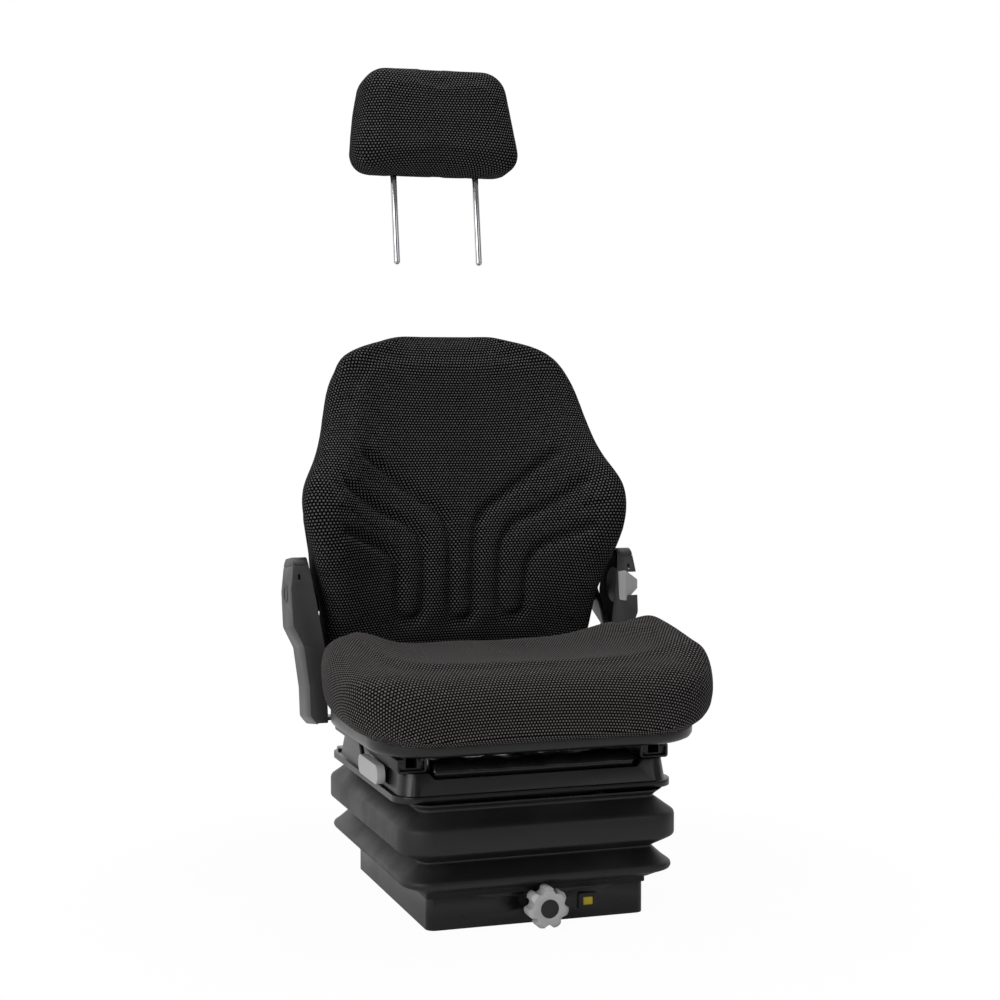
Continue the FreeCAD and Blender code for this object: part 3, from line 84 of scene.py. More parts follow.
# %% Helpers for shader nodes
def shader_group(name, inputs, outputs):
    """An empty node group with named sockets, and the sockets of its two ends."""
    tree = bpy.data.node_groups.new(name, "ShaderNodeTree")
    for label, kind, value in inputs:
        socket = tree.interface.new_socket(name=label, in_out="INPUT", socket_type="NodeSocket" + kind)
        if value is not None:
            socket.default_value = value
    for label, kind in outputs:
        tree.interface.new_socket(name=label, in_out="OUTPUT", socket_type="NodeSocket" + kind)
    start = tree.nodes.new("NodeGroupInput")
    end = tree.nodes.new("NodeGroupOutput")
    return tree, start.outputs, end.inputs


def calc(tree, operation, *values):
    """One Math node; each value is a number or a socket."""
    node = tree.nodes.new("ShaderNodeMath")
    node.operation = operation
    for socket, value in zip(node.inputs, values):
        if isinstance(value, (int, float)):
            socket.default_value = value
        else:
            tree.links.new(value, socket)
    return node.outputs[0]


def ramp(tree, value, low, high, start=0.0, end=1.0):
    """A soft step of a value from low to high."""
    node = tree.nodes.new("ShaderNodeMapRange")
    node.interpolation_type = "SMOOTHSTEP"
    tree.links.new(value, node.inputs["Value"])
    for label, number in (("From Min", low), ("From Max", high), ("To Min", start), ("To Max", end)):
        node.inputs[label].default_value = number
    return node.outputs["Result"]


def cloud(tree, vector, scale, detail=2.0, roughness=0.5):
    """Noise from 0 to 1 at a scale per metre."""
    node = tree.nodes.new("ShaderNodeTexNoise")
    node.inputs["Scale"].default_value = scale
    node.inputs["Detail"].default_value = detail
    node.inputs["Roughness"].default_value = roughness
    tree.links.new(vector, node.inputs["Vector"])
    return node.outputs["Fac"]


def mix(tree, share, first, second):
    """A colour between two colours or colour sockets."""
    node = tree.nodes.new("ShaderNodeMix")
    node.data_type = "RGBA"
    tree.links.new(share, node.inputs["Factor"])
    for label, value in ((6, first), (7, second)):
        if hasattr(value, "is_linked"):
            tree.links.new(value, node.inputs[label])
        else:
            node.inputs[label].default_value = (*value, 1.0)
    return node.outputs[2]

# %% [markdown]
# The cover is a knit with rows of small raised dots, each row half a step beside the one below it. An
# image would be the usual way, but the dots are so regular that a little arithmetic draws them. They are
# worked out from a map of the flat cloth that each cushion carries, so that they follow its curves.

# %% The knit with its raised dots
DOT_PITCH, DOT_ROW = 4.6 * MM, 3.9 * MM
DOT_HALF_WIDTH, DOT_HALF_HEIGHT = 0.31, 0.34
DOT_EDGE, DOT_SLOPE = (1.15, 0.7), (1.5, 0.1)
FLECK_SCALE = 900.0

knit, knit_in, knit_out = shader_group(
    "Dotted knit",
    [("Cloth map", "Vector", None), ("Pitch", "Float", DOT_PITCH), ("Row", "Float", DOT_ROW)],
    [("Dot", "Float"), ("Height", "Float"), ("Fleck", "Float")])
split = knit.nodes.new("ShaderNodeSeparateXYZ")
knit.links.new(knit_in["Cloth map"], split.inputs[0])
across = calc(knit, "DIVIDE", split.outputs["X"], knit_in["Pitch"])
up = calc(knit, "DIVIDE", split.outputs["Y"], knit_in["Row"])
row = calc(knit, "FLOOR", up)
odd = calc(knit, "FLOORED_MODULO", row, 2.0)
beside = calc(knit, "MULTIPLY_ADD", odd, 0.5, across)
from_side = calc(knit, "SUBTRACT", calc(knit, "FRACT", beside), 0.5)
from_row = calc(knit, "SUBTRACT", calc(knit, "FRACT", up), 0.5)
from_middle_x = calc(knit, "DIVIDE", from_side, DOT_HALF_WIDTH)
from_middle_y = calc(knit, "DIVIDE", from_row, DOT_HALF_HEIGHT)
spread = calc(knit, "SQRT", calc(knit, "ADD", calc(knit, "POWER", from_middle_x, 2.0),
                                 calc(knit, "POWER", from_middle_y, 2.0)))
knit.links.new(ramp(knit, spread, *DOT_EDGE), knit_out["Dot"])
knit.links.new(ramp(knit, spread, *DOT_SLOPE), knit_out["Height"])
knit.links.new(cloud(knit, knit_in["Cloth map"], FLECK_SCALE, 1.0), knit_out["Fleck"])
print("knit nodes:", len(knit.nodes))

# %% [markdown]
# Moulded plastic and rubber have a very fine grain, and every large black piece looks a little uneven,
# with paler dust in broad patches. One group gives both as values that each material uses in its own way.

# %% Grain and dust
DUST_SCALE, DUST_DETAIL, DUST_ROUGHNESS = 9.0, 4.0, 0.6
DUST_PATCH = (0.42, 0.72)

surface, surface_in, surface_out = shader_group(
    "Grain and dust", [("Place", "Vector", None), ("Grain size", "Float", 1500.0)],
    [("Grain", "Float"), ("Dust", "Float")])
grain_node = surface.nodes.new("ShaderNodeTexNoise")
grain_node.inputs["Detail"].default_value = 3.0
surface.links.new(surface_in["Place"], grain_node.inputs["Vector"])
surface.links.new(surface_in["Grain size"], grain_node.inputs["Scale"])
surface.links.new(grain_node.outputs["Fac"], surface_out["Grain"])
dust_cloud = cloud(surface, surface_in["Place"], DUST_SCALE, DUST_DETAIL, DUST_ROUGHNESS)
surface.links.new(ramp(surface, dust_cloud, *DUST_PATCH), surface_out["Dust"])
print("surface nodes:", len(surface.nodes))

# %% [markdown]
# A material is a shader with plain values, one or two of these groups, and a height that feeds its normal.
# The next helpers place those parts, so that each material below reads as a short list of its own choices.

# %% Helpers for materials
def place_group(tree, group, vector, label, values):
    """A node group in a material, fed with a vector and with its own values."""
    node = tree.nodes.new("ShaderNodeGroup")
    node.node_tree = group
    tree.links.new(vector, node.inputs[label])
    for name, value in values.items():
        node.inputs[name].default_value = value
    return node.outputs


def bump(tree, shader, height, distance, strength=1.0):
    """Feeds a height in metres to the shader's normal."""
    node = tree.nodes.new("ShaderNodeBump")
    node.inputs["Strength"].default_value = strength
    node.inputs["Distance"].default_value = distance
    tree.links.new(height, node.inputs["Height"])
    tree.links.new(node.outputs["Normal"], shader.inputs["Normal"])


def new_material(name, sockets):
    """A material, its tree and its shader, with plain values set on the shader's own sockets."""
    material = bpy.data.materials.new(name)
    material.use_nodes = True
    shader = material.node_tree.nodes["Principled BSDF"]
    for label, value in sockets.items():
        shader.inputs[label].default_value = value
    return material, material.node_tree, shader

# %% [markdown]
# Two covers share the knit. The seat cover is a warm dark grey whose dots catch the light, and the cover of
# the backrest and headrest is nearly black with dimmer dots. A gloss would make them look like rubber, so
# both are rough, with hardly any specular and only a little sheen on the seat.

# %% The two knitted covers
FLECK_DARK, FLECK_PALE = 0.6, 1.5
DOT_RISE, DOT_BUMP = 0.6 * MM, 0.7


def knit_material(name, ground, dot, sheen):
    """The knit in two colours: a ground, and dots flecked lighter and darker."""
    material, tree, shader = new_material(name, {
        "Roughness": 0.9, "Sheen Weight": sheen, "Sheen Roughness": 0.45, "Specular IOR Level": 0.03})
    cloth = tree.nodes.new("ShaderNodeAttribute")
    cloth.attribute_name = "cloth_map"
    weave = place_group(tree, knit, cloth.outputs["Vector"], "Cloth map", {})
    flecked = mix(tree, weave["Fleck"], [c * FLECK_DARK for c in dot], [c * FLECK_PALE for c in dot])
    tree.links.new(mix(tree, weave["Dot"], ground, flecked), shader.inputs["Base Color"])
    bump(tree, shader, weave["Height"], DOT_RISE, DOT_BUMP)
    return material


seat_knit = knit_material("seat_knit", (0.0014, 0.0011, 0.0011), (0.165, 0.153, 0.151), 0.06)
back_knit = knit_material("back_knit", (0.0007, 0.0007, 0.0008), (0.115, 0.112, 0.114), 0.0)
print("covers:", seat_knit.name, back_knit.name)

# %% [markdown]
# The hard finishes differ in colour, gloss and grain only, so one function makes them all. Dust lifts the
# roughness a little where it lies, and the grain breaks up each highlight.

# %% Plastic, rubber, paint and metal
DUST_TONE, DUST_TINT = 0.5, 0.06


def hard_material(name, colour, rough, metal=0.0, grain_size=1500.0, grain_depth=0.03, dusty=0.1):
    """A hard finish with its own grain, a little paler and rougher where dust lies on it."""
    material, tree, shader = new_material(name, {"Metallic": metal})
    place = tree.nodes.new("ShaderNodeTexCoord")
    marks = place_group(tree, surface, place.outputs["Object"], "Place", {"Grain size": grain_size})
    paler = [c + (DUST_TONE - c) * dusty * DUST_TINT for c in colour]
    tree.links.new(mix(tree, marks["Dust"], colour, paler), shader.inputs["Base Color"])
    tree.links.new(calc(tree, "MULTIPLY_ADD", marks["Dust"], dusty, rough), shader.inputs["Roughness"])
    bump(tree, shader, marks["Grain"], grain_depth * MM)
    return material


FINISHES = {
    "moulded_black": hard_material("moulded_black", (0.040, 0.040, 0.041), 0.38, grain_size=1300,
                                   grain_depth=0.08),
    "bellows_rubber": hard_material("bellows_rubber", (0.0060, 0.0061, 0.0066), 0.44, grain_size=900,
                                    grain_depth=0.06, dusty=0.16),
    "black_paint": hard_material("black_paint", (0.0030, 0.0030, 0.0034), 0.27, grain_depth=0.02),
    "gaiter_vinyl": hard_material("gaiter_vinyl", (0.013, 0.0133, 0.0155), 0.20, grain_size=700,
                                  grain_depth=0.08),
    "rail_steel": hard_material("rail_steel", (0.05, 0.05, 0.052), 0.38, metal=0.8),
    "plain_steel": hard_material("plain_steel", (0.36, 0.36, 0.37), 0.36, metal=1.0),
    "zinc_steel": hard_material("zinc_steel", (0.55, 0.55, 0.56), 0.3, metal=1.0),
    "polished_steel": hard_material("polished_steel", (0.62, 0.62, 0.64), 0.12, metal=1.0,
                                    grain_depth=0.004, dusty=0.03),
    "grey_plastic": hard_material("grey_plastic", (0.56, 0.555, 0.56), 0.42, grain_depth=0.03),
    "cap_black": hard_material("cap_black", (0.014, 0.0145, 0.015), 0.55, grain_size=1100,
                               grain_depth=0.08),
    "yellow_scale": hard_material("yellow_scale", (0.78, 0.62, 0.02), 0.3, dusty=0.03),
    "red_pointer": hard_material("red_pointer", (0.45, 0.03, 0.02), 0.35, dusty=0.03),
}

# %% [markdown]
# Along the bottom of its two folds the rubber gets a thin painted highlight, a paler colour in place of the
# light that the sharp crease catches. The bellows' mesh carries it as a value called fold_highlight, so
# that the line stays in the fold.

# %% The painted highlight along the folds of the bellows
# the colour of the painted highlight along the bottom of each fold
FOLD_HIGHLIGHT_COLOUR = (0.055, 0.056, 0.06)
rubber = FINISHES["bellows_rubber"].node_tree
rubber_colour = rubber.nodes["Principled BSDF"].inputs["Base Color"]
plain_colour = rubber_colour.links[0].from_socket
# the painted highlight is mixed into the rubber's colour where the mesh marks the fold bottoms
fold_highlight = rubber.nodes.new("ShaderNodeAttribute")
fold_highlight.attribute_name = "fold_highlight"
rubber.links.new(mix(rubber, fold_highlight.outputs["Fac"], plain_colour, FOLD_HIGHLIGHT_COLOUR), rubber_colour)
print("finishes:", len(FINISHES))

# %% [markdown]
# Every CAD piece that stays in view gets one of these finishes. A weld and a small bevel are added as
# modifiers, because real pressed and moulded edges are never sharp and catch a thin highlight.

# %% Dress the CAD pieces
PIECES_BY_FINISH = {
    "black_paint": ["base_tub", "suspension_cover", "seat_pan", "backrest_frame", "hinge_bracket_left",
                    "hinge_bracket_right", "slide_lever", "recline_lever"],
    "moulded_black": ["back_shell", "side_cover_left", "side_cover_right", "side_cover_plug",
                      "headrest_guide_left", "headrest_guide_right"],
    "cap_black": ["weight_knob_cap", "window_bezel", "lower_rollers", "upper_rollers", "bump_stops"],
    "grey_plastic": ["weight_knob", "slide_paddle"],
    "rail_steel": ["lower_rail_left", "lower_rail_right", "upper_rail_left", "upper_rail_right"],
    "polished_steel": ["headrest_rods", "damper_rod"],
    "zinc_steel": ["weld_nuts", "rear_pivot_shaft", "centre_pins", "upper_stub_axles", "lower_stub_axles",
                   "damper_arm_pin", "spring_left", "spring_right", "weight_spindle", "pivot_bolts",
                   "recline_pin"],
    "plain_steel": ["outer_arm_left", "outer_arm_right", "inner_arm_left", "inner_arm_right",
                    "outer_cross_tube", "inner_cross_tube", "lower_track_left", "lower_track_right",
                    "upper_track_left", "upper_track_right", "upper_lugs", "damper_bracket", "damper_tube",
                    "spring_bridge"],
    "yellow_scale": ["weight_window"],
    "red_pointer": ["weight_pointer"],
}
# widths of the rounded edges in mm; a bevel from BROAD up gets more segments
BEVELS = {"side_cover_left": 1.2, "side_cover_right": 1.2, "weight_knob": 1.2, "slide_paddle": 4.5,
          "suspension_cover": 1.2, "base_tub": 1.0, "back_shell": 1.5}
PLAIN_BEVEL, BROAD = 0.4, 3.0
SAME_POINT, SHARP_ANGLE = 0.001 * MM, math.radians(34)


def soften_edges(piece, width):
    """Welds split corners, rounds the sharp edges and shades the rest smooth."""
    weld = piece.modifiers.new("weld", "WELD")
    weld.merge_threshold = SAME_POINT
    bevel = piece.modifiers.new("bevel", "BEVEL")
    bevel.width = width * MM
    bevel.segments = 2 if width < BROAD else 4
    bevel.limit_method = "ANGLE"
    bevel.angle_limit = SHARP_ANGLE
    bevel.harden_normals = True
    piece.data.polygons.foreach_set("use_smooth", [True] * len(piece.data.polygons))


def paint(piece, material):
    piece.data.materials.clear()
    piece.data.materials.append(material)


for finish, names in PIECES_BY_FINISH.items():
    for name in names:
        paint(nodes[name], FINISHES[finish])
        soften_edges(nodes[name], BEVELS.get(name, PLAIN_BEVEL))
print("dressed pieces:", sum(len(names) for names in PIECES_BY_FINISH.values()))

# %% [markdown]
# Each cushion is foam under a stretched knit. It could be sculpted by hand, but the CAD solid already has
# the right size and place. So its mesh is made again from small even faces, which can be smoothed and
# blown up like a real cover.

# %% Helpers for soft pieces
TINY = 1e-9


def copy_of(node, name):
    """A new object with a copy of a CAD node's mesh."""
    piece = bpy.data.objects.new(name, nodes[node].data.copy())
    bpy.context.scene.collection.objects.link(piece)
    return piece


def settle(piece):
    """Applies a piece's modifiers to its mesh."""
    ready = piece.evaluated_get(bpy.context.evaluated_depsgraph_get())
    mesh = bpy.data.meshes.new_from_object(ready)
    piece.modifiers.clear()
    piece.data = mesh
    return piece


def even_faces(piece, size, passes):
    """Makes the mesh again from small even faces and smooths it."""
    weld = piece.modifiers.new("weld", "WELD")
    weld.merge_threshold = SAME_POINT
    remesh = piece.modifiers.new("faces", "REMESH")
    remesh.mode = "VOXEL"
    remesh.voxel_size = size
    return relax(piece, passes)


def relax(piece, passes, group=""):
    """Smooths a mesh, or one vertex group of it, a number of times."""
    smooth = piece.modifiers.new("smooth", "SMOOTH")
    smooth.vertex_group = group
    smooth.factor = 0.5
    smooth.iterations = passes
    return settle(piece)


def points_of(piece):
    flat = np.empty(len(piece.data.vertices) * 3)
    piece.data.vertices.foreach_get("co", flat)
    return flat.reshape(-1, 3)


def set_points(piece, points):
    piece.data.vertices.foreach_set("co", np.ascontiguousarray(points, dtype=np.float32).ravel())
    piece.data.update()


def normals_of(piece):
    flat = np.empty(len(piece.data.vertices) * 3)
    piece.data.vertex_normals.foreach_get("vector", flat)
    return flat.reshape(-1, 3)


def inflate(piece, cap, pressure=4.0, frames=20):
    """Blows the cover up with a cloth simulation, and keeps the size of the CAD piece.

    Each point ends within cap of its start, and the mean growth is taken off again."""
    start = points_of(piece)
    facing = normals_of(piece)
    cloth = piece.modifiers.new("cover", "CLOTH")
    cloth.settings.use_pressure = True
    cloth.settings.uniform_pressure_force = pressure
    cloth.settings.effector_weights.gravity = 0.0
    cloth.point_cache.frame_start = 1
    cloth.point_cache.frame_end = frames
    for number in range(1, frames + 1):
        bpy.context.scene.frame_set(number)
    settle(piece)
    moved = points_of(piece) - start
    growth = np.sum(moved * facing, axis=1)
    print(piece.name, "grew by mm", np.round(np.percentile(growth, (5, 50, 95)) / MM, 1))
    moved -= facing * np.mean(growth)
    length = np.linalg.norm(moved, axis=1)
    share = np.minimum(1.0, cap / np.maximum(length, TINY))
    set_points(piece, start + moved * share[:, None])
    bpy.context.scene.frame_set(1)
    return piece

# %% [markdown]
# A knit keeps its pattern while it stretches over foam, so its dots need a map of the flat cloth. The cover
# is opened at its hidden side, unwrapped with little stretch, and the map is scaled back to real metres.

# %% The pattern of the flat cloth
HIDDEN_SHARE, PAST_EDGE = 0.72, 3 * MM
PATTERN_FACE = 12 * MM


def open_pattern(piece, hidden, size):
    """A coarse copy of a piece, without the faces that look towards its hidden side."""
    pattern = bpy.data.objects.new("pattern", piece.data.copy())
    bpy.context.scene.collection.objects.link(pattern)
    remesh = pattern.modifiers.new("faces", "REMESH")
    remesh.mode = "VOXEL"
    remesh.voxel_size = size
    mesh = settle(pattern).data
    keep = [tuple(p.vertices) for p in mesh.polygons if p.normal.dot(Vector(hidden)) < HIDDEN_SHARE]
    used = sorted({v for corners in keep for v in corners})
    number = {v: i for i, v in enumerate(used)}
    open_mesh = bpy.data.meshes.new("pattern_open")
    places = [mesh.vertices[v].co[:] for v in used]
    open_mesh.from_pydata(places, [], [[number[v] for v in corners] for corners in keep])
    pattern.data = open_mesh
    return pattern


def unwrapped(pattern):
    """The pattern's points in space, and the same points on the flat cloth, in metres."""
    pattern.data.uv_layers.new(name="flat")
    bpy.context.view_layer.objects.active = pattern
    pattern.select_set(True)
    bpy.ops.object.mode_set(mode="EDIT")
    bpy.ops.mesh.select_all(action="SELECT")
    bpy.ops.uv.unwrap(method="CONFORMAL", margin=0.0)
    bpy.ops.uv.unwrap(method="MINIMUM_STRETCH", margin=0.0)
    bpy.ops.object.mode_set(mode="OBJECT")
    places = np.array([v.co[:] for v in pattern.data.vertices])
    flat = np.zeros((len(places), 2))
    layer = pattern.data.uv_layers["flat"].data
    for loop in pattern.data.loops:
        flat[loop.vertex_index] = layer[loop.index].uv
    edges = np.array([e.vertices[:] for e in pattern.data.edges])
    real = np.linalg.norm(places[edges[:, 0]] - places[edges[:, 1]], axis=1)
    drawn = np.linalg.norm(flat[edges[:, 0]] - flat[edges[:, 1]], axis=1)
    return places, flat * np.median(real / np.maximum(drawn, TINY))


def turned_upright(places, flat, across, upward):
    """Turns the flat cloth so that its rows run across the piece."""
    target = np.stack([places @ np.array(across), places @ np.array(upward)], axis=1)
    middle_flat, middle_target = flat.mean(axis=0), target.mean(axis=0)
    u, _, vt = np.linalg.svd((flat - middle_flat).T @ (target - middle_target))
    return (flat - middle_flat) @ (u @ vt)

# %% [markdown]
# The piece itself is much finer than its pattern. So each of its points looks for the nearest place on the
# pattern and takes its spot on the cloth from the three corners round it. Past the pattern's cut edge the
# cloth simply goes on outwards, which keeps the dots round where the cover turns to its hidden side.

# %% The map of the flat cloth
def lay_flat(piece, hidden, across, upward, size=PATTERN_FACE):
    """Stores the flat cloth's coordinates, in metres, on each point of a piece as cloth_map."""
    pattern = open_pattern(piece, hidden, size)
    places, flat = unwrapped(pattern)
    turned = turned_upright(places, flat, across, upward)
    triangles = []
    for face in pattern.data.polygons:
        a, b, c, d = face.vertices[0], face.vertices[1], face.vertices[2], face.vertices[-1]
        triangles += [(a, b, c), (a, c, d)]
    tree = BVHTree.FromPolygons([tuple(p) for p in places], triangles)
    cloth = np.zeros((len(piece.data.vertices), 3), np.float32)
    for i, vertex in enumerate(piece.data.vertices):
        spot, _, face, away = tree.find_nearest(vertex.co)
        a, b, c = triangles[face]
        pa, pb, pc, s = places[a], places[b], places[c], np.array(spot)
        area = np.linalg.norm(np.cross(pb - pa, pc - pa)) + 1e-15
        wa = np.linalg.norm(np.cross(pb - s, pc - s)) / area
        wb = np.linalg.norm(np.cross(pc - s, pa - s)) / area
        place = turned[a] * wa + turned[b] * wb + turned[c] * (1 - wa - wb)
        outward = place / (np.linalg.norm(place) + TINY)
        cloth[i, :2] = place + outward * max(0.0, away - PAST_EDGE)
    layer = piece.data.attributes.new("cloth_map", "FLOAT_VECTOR", "POINT")
    layer.data.foreach_set("vector", cloth.ravel())
    bpy.data.objects.remove(pattern)
    print(piece.name, "flat cloth", np.round(np.ptp(turned, axis=0), 3))

# %% [markdown]
# The last helpers finish a cover: one subdivision hides the small faces, and the points of a mesh are moved
# by soft steps, by noise, or by their distance to a line drawn on the cover.

# %% Helpers for forms on a cover
def smooth_shading(piece):
    piece.data.polygons.foreach_set("use_smooth", [True] * len(piece.data.polygons))


def one_subdivision(piece):
    finer = piece.modifiers.new("finer", "SUBSURF")
    finer.levels = 1
    finer.render_levels = 1
    return settle(piece)


def near_segment(points, start, end):
    """Distance of each point to a segment, and how far along it the nearest place lies."""
    start, end = np.array(start), np.array(end)
    along = end - start
    share = np.clip(((points - start) @ along) / (along @ along), 0.0, 1.0)
    return np.linalg.norm(points - (start + share[:, None] * along), axis=1), share


def between(values, start, end):
    """A soft step from 0 at start to 1 at end, for a whole array."""
    share = np.clip((values - start) / (end - start), 0.0, 1.0)
    return share * share * (3.0 - 2.0 * share)


def soft_noise(points, scale, seed):
    return np.array([noise.noise(Vector(p) * scale + Vector((seed, 0, 0))) for p in points])

# %% [markdown]
# The seat cushion has raised sides and a rolled front. Its cover bulges a little over the pan's rim, so
# that the two meet in one clean line, and the shoulder on the right is fuller than in the solid. The cover
# is tight everywhere except near the right rear corner, where shallow folds run towards the backrest.

# %% Seat cushion
# the pan's rim: its front edge, and how much it rises per metre towards the rear
RIM_FRONT_Y, RIM_FRONT_Z, RIM_RISE = -0.236, 0.257, 0.05
OVER_RIM, RIM_LIFT, RIM_BAND, FREE_ABOVE = 2.5 * MM, 3 * MM, 5 * MM, 30 * MM
# where the fuller shoulder starts and is complete: across, from the front, from the rear and in height
RIGHT_SHOULDER = 20 * MM
SHOULDER_ACROSS, SHOULDER_HEIGHT = (0.185, 0.24), (0.285, 0.345)
SHOULDER_FRONT, SHOULDER_REAR = (-0.215, -0.15), (0.06, -0.02)
SEAT_FACE, SEAT_PASSES, SEAT_CAP, CAP_IN_PAN = 5 * MM, 6, 5 * MM, 0.2
SEAT_WOBBLE, SEAT_WOBBLE_SCALE = 0.7 * MM, 14.0
# folds: from, to and height in mm
FOLDS = [((0.175, 0.085), (0.245, 0.01), 1.6), ((0.150, 0.075), (0.235, -0.02), 1.5),
         ((0.19, 0.036), (0.262, -0.023), 1.5), ((0.165, -0.005), (0.225, -0.075), 1.2),
         ((0.20, 0.06), (0.25, 0.03), 1.3)]
FOLD_WIDTH, FOLD_FACING = 4.5 * MM, 0.3

seat = copy_of("seat_cushion", "seat_cover")
even_faces(seat, SEAT_FACE, SEAT_PASSES)
places = points_of(seat)
rim_height = RIM_FRONT_Z + RIM_RISE * (places[:, 1] - RIM_FRONT_Y)
above = np.clip((places[:, 2] - rim_height) / FREE_ABOVE, 0.0, 1.0)
over_rim = OVER_RIM * np.exp(-((places[:, 2] - rim_height - RIM_LIFT) / RIM_BAND) ** 2)
sideways = normals_of(seat) * (1.0, 1.0, 0.0)
full = (between(places[:, 0], *SHOULDER_ACROSS) * between(places[:, 1], *SHOULDER_FRONT)
        * between(places[:, 1], *SHOULDER_REAR) * between(places[:, 2], *SHOULDER_HEIGHT))
places = places + sideways * over_rim[:, None]
places[:, 2] += RIGHT_SHOULDER * full
set_points(seat, places)
inflate(seat, SEAT_CAP * (CAP_IN_PAN + (1.0 - CAP_IN_PAN) * above))

# %% Folds and cloth of the seat
places = points_of(seat)
facing = normals_of(seat)
lift = SEAT_WOBBLE * soft_noise(places, SEAT_WOBBLE_SCALE, 3.1) * above
for start, end, height in FOLDS:
    gap, share = near_segment(places[:, :2], start, end)
    fading = np.sin(math.pi * np.clip(share, 0.03, 0.97)) * (facing[:, 2] > FOLD_FACING)
    lift += height * MM * np.exp(-(gap / FOLD_WIDTH) ** 2) * fading
set_points(seat, places + facing * lift[:, None])
lay_flat(seat, (0, 0, -1), (1, 0, 0), (0, 1, 0.5))
one_subdivision(seat)
paint(seat, seat_knit)
smooth_shading(seat)
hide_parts("seat_cushion")
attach(seat, "seat_frame")
print("seat cover points:", len(seat.data.vertices))

# %% [markdown]
# The backrest cushion is one foam moulding. Three channels, each a long narrow U, are pressed into its
# front, and their upper ends fan out towards the wings. The CAD grooves are too coarse once the mesh has
# been made again, so they are filled and smoothed first. The channels are carved afresh once the cover has
# been blown up, because a cloth simulation would pull them flat.

# %% Backrest cushion
LEAN = math.radians(8.5)
RECLINE_Y, RECLINE_Z = 0.124, 0.292
CHANNEL_MIDDLE = [(154, 328), (108, 293), (58, 255), (32, 236), (21, 212), (18, 170), (18, 118), (18, 94),
                  (14, 80), (0, 76)]
CHANNEL_SIDE = [(186, 282), (144, 250), (92, 226), (70, 210), (60, 186), (58, 150), (58, 108), (60, 92),
                (67, 82), (78, 79), (89, 82), (96, 92), (98, 108), (98, 142), (104, 168), (122, 186),
                (154, 198), (190, 212)]
CAD_GROOVE, CAD_GROOVE_WIDTH = 4.2 * MM, 5.5 * MM
CHANNEL_DEPTH, CHANNEL_WIDTH = 7.5 * MM, 7.6 * MM
SHALLOW_END, DEEPER_PER_POINT = 0.15, 0.4
PILLOW_RISE, PILLOW_WIDTH = 2.5 * MM, 26 * MM
MIDDLE_OF_FOAM, SHELL_DEPTH = 0.03, (0.040, 0.070)
BACK_FACE, BACK_PASSES, BACK_CAP = 4.5 * MM, 6, 3.5 * MM
BACK_WOBBLE, BACK_WOBBLE_SCALE = 0.6 * MM, 12.0
GROOVE_REACH, GROOVE_PASSES = 12 * MM, 40
# height up the back, and how far the left and the right edge move to the right there, in mm
SHIFT_AT = [0.04, 0.12, 0.20, 0.36, 0.40, 0.45, 0.47]
SHIFT_LEFT = [-8.0, -2.0, 2.5, 6.0, 6.0, 4.0, -2.0]
SHIFT_RIGHT = [0.0, 0.0, 5.0, 6.0, 4.0, 2.0, 1.0]
HALF_BACK, TOP_RISE, TOP_BAND = 0.2, 4.5 * MM, (0.44, 0.48)


def to_back(points):
    """From the seat's frame to the backrest's own: across, rearward, up its back."""
    y, z = points[:, 1] - RECLINE_Y, points[:, 2] - RECLINE_Z
    return np.stack([points[:, 0], y * math.cos(LEAN) - z * math.sin(LEAN),
                     y * math.sin(LEAN) + z * math.cos(LEAN)], axis=1)


def channel_distance(across_up, lines):
    """Distance of each point to the nearest channel, and how deep that channel is there."""
    gap = np.full(len(across_up), 9.0)
    depth = np.zeros(len(across_up))
    for line in lines:
        count = len(line) - 1
        for i in range(count):
            away, share = near_segment(across_up, line[i], line[i + 1])
            ends = np.minimum(i + share, count - i - share)
            nearer = away < gap
            gap = np.where(nearer, away, gap)
            deeper = np.clip(SHALLOW_END + ends * DEEPER_PER_POINT, 0.0, 1.0)
            depth = np.where(nearer, deeper, depth)
    return gap, depth


def smooth_line(points, times):
    """Rounds a line of points by cutting its corners a number of times."""
    for _ in range(times):
        finer = [points[0]]
        for (ax, av), (bx, bv) in zip(points, points[1:]):
            finer.append((0.75 * ax + 0.25 * bx, 0.75 * av + 0.25 * bv))
            finer.append((0.25 * ax + 0.75 * bx, 0.25 * av + 0.75 * bv))
        points = finer + [points[-1]]
    return points


middle_line = CHANNEL_MIDDLE + [(-x, v) for x, v in reversed(CHANNEL_MIDDLE[:-1])]
channels = [middle_line, CHANNEL_SIDE, [(-x, v) for x, v in CHANNEL_SIDE]]
channels = [smooth_line([(x * MM, v * MM) for x, v in line], 2) for line in channels]
print("channel points:", [len(line) for line in channels])

# %% [markdown]
# First comes the plain cover: even faces, the coarse grooves filled and smoothed away, then the cloth blown
# up and its flat map. The rear, which lies in the hard shell, isn't allowed to move.

# %% The plain cover of the backrest
back = copy_of("backrest_cushion", "backrest_cover")
even_faces(back, BACK_FACE, 1)
places = to_back(points_of(back))
gap, depth = channel_distance(places[:, [0, 2]], channels)
filled = CAD_GROOVE * np.exp(-(gap / CAD_GROOVE_WIDTH) ** 2) * depth
set_points(back, points_of(back) + normals_of(back) * (filled * (places[:, 1] < MIDDLE_OF_FOAM))[:, None])
groove = back.vertex_groups.new(name="groove")
groove.add([int(i) for i in np.nonzero(gap < GROOVE_REACH)[0]], 1.0, "REPLACE")
relax(back, GROOVE_PASSES, "groove")
relax(back, BACK_PASSES)
places = to_back(points_of(back))
inflate(back, BACK_CAP * (1.0 - between(places[:, 1], *SHELL_DEPTH)))
lay_flat(back, (0, 1, 0.15), (1, 0, 0), (0, 0.15, 1))
one_subdivision(back)
print("backrest cover points:", len(back.data.vertices))

# %% [markdown]
# Now the channels are carved, with a low pillow on each side, where pressed foam swells. The outline of the
# real backrest isn't quite the same on the left as on the right, so its two edges are moved by a few
# millimetres, height by height.

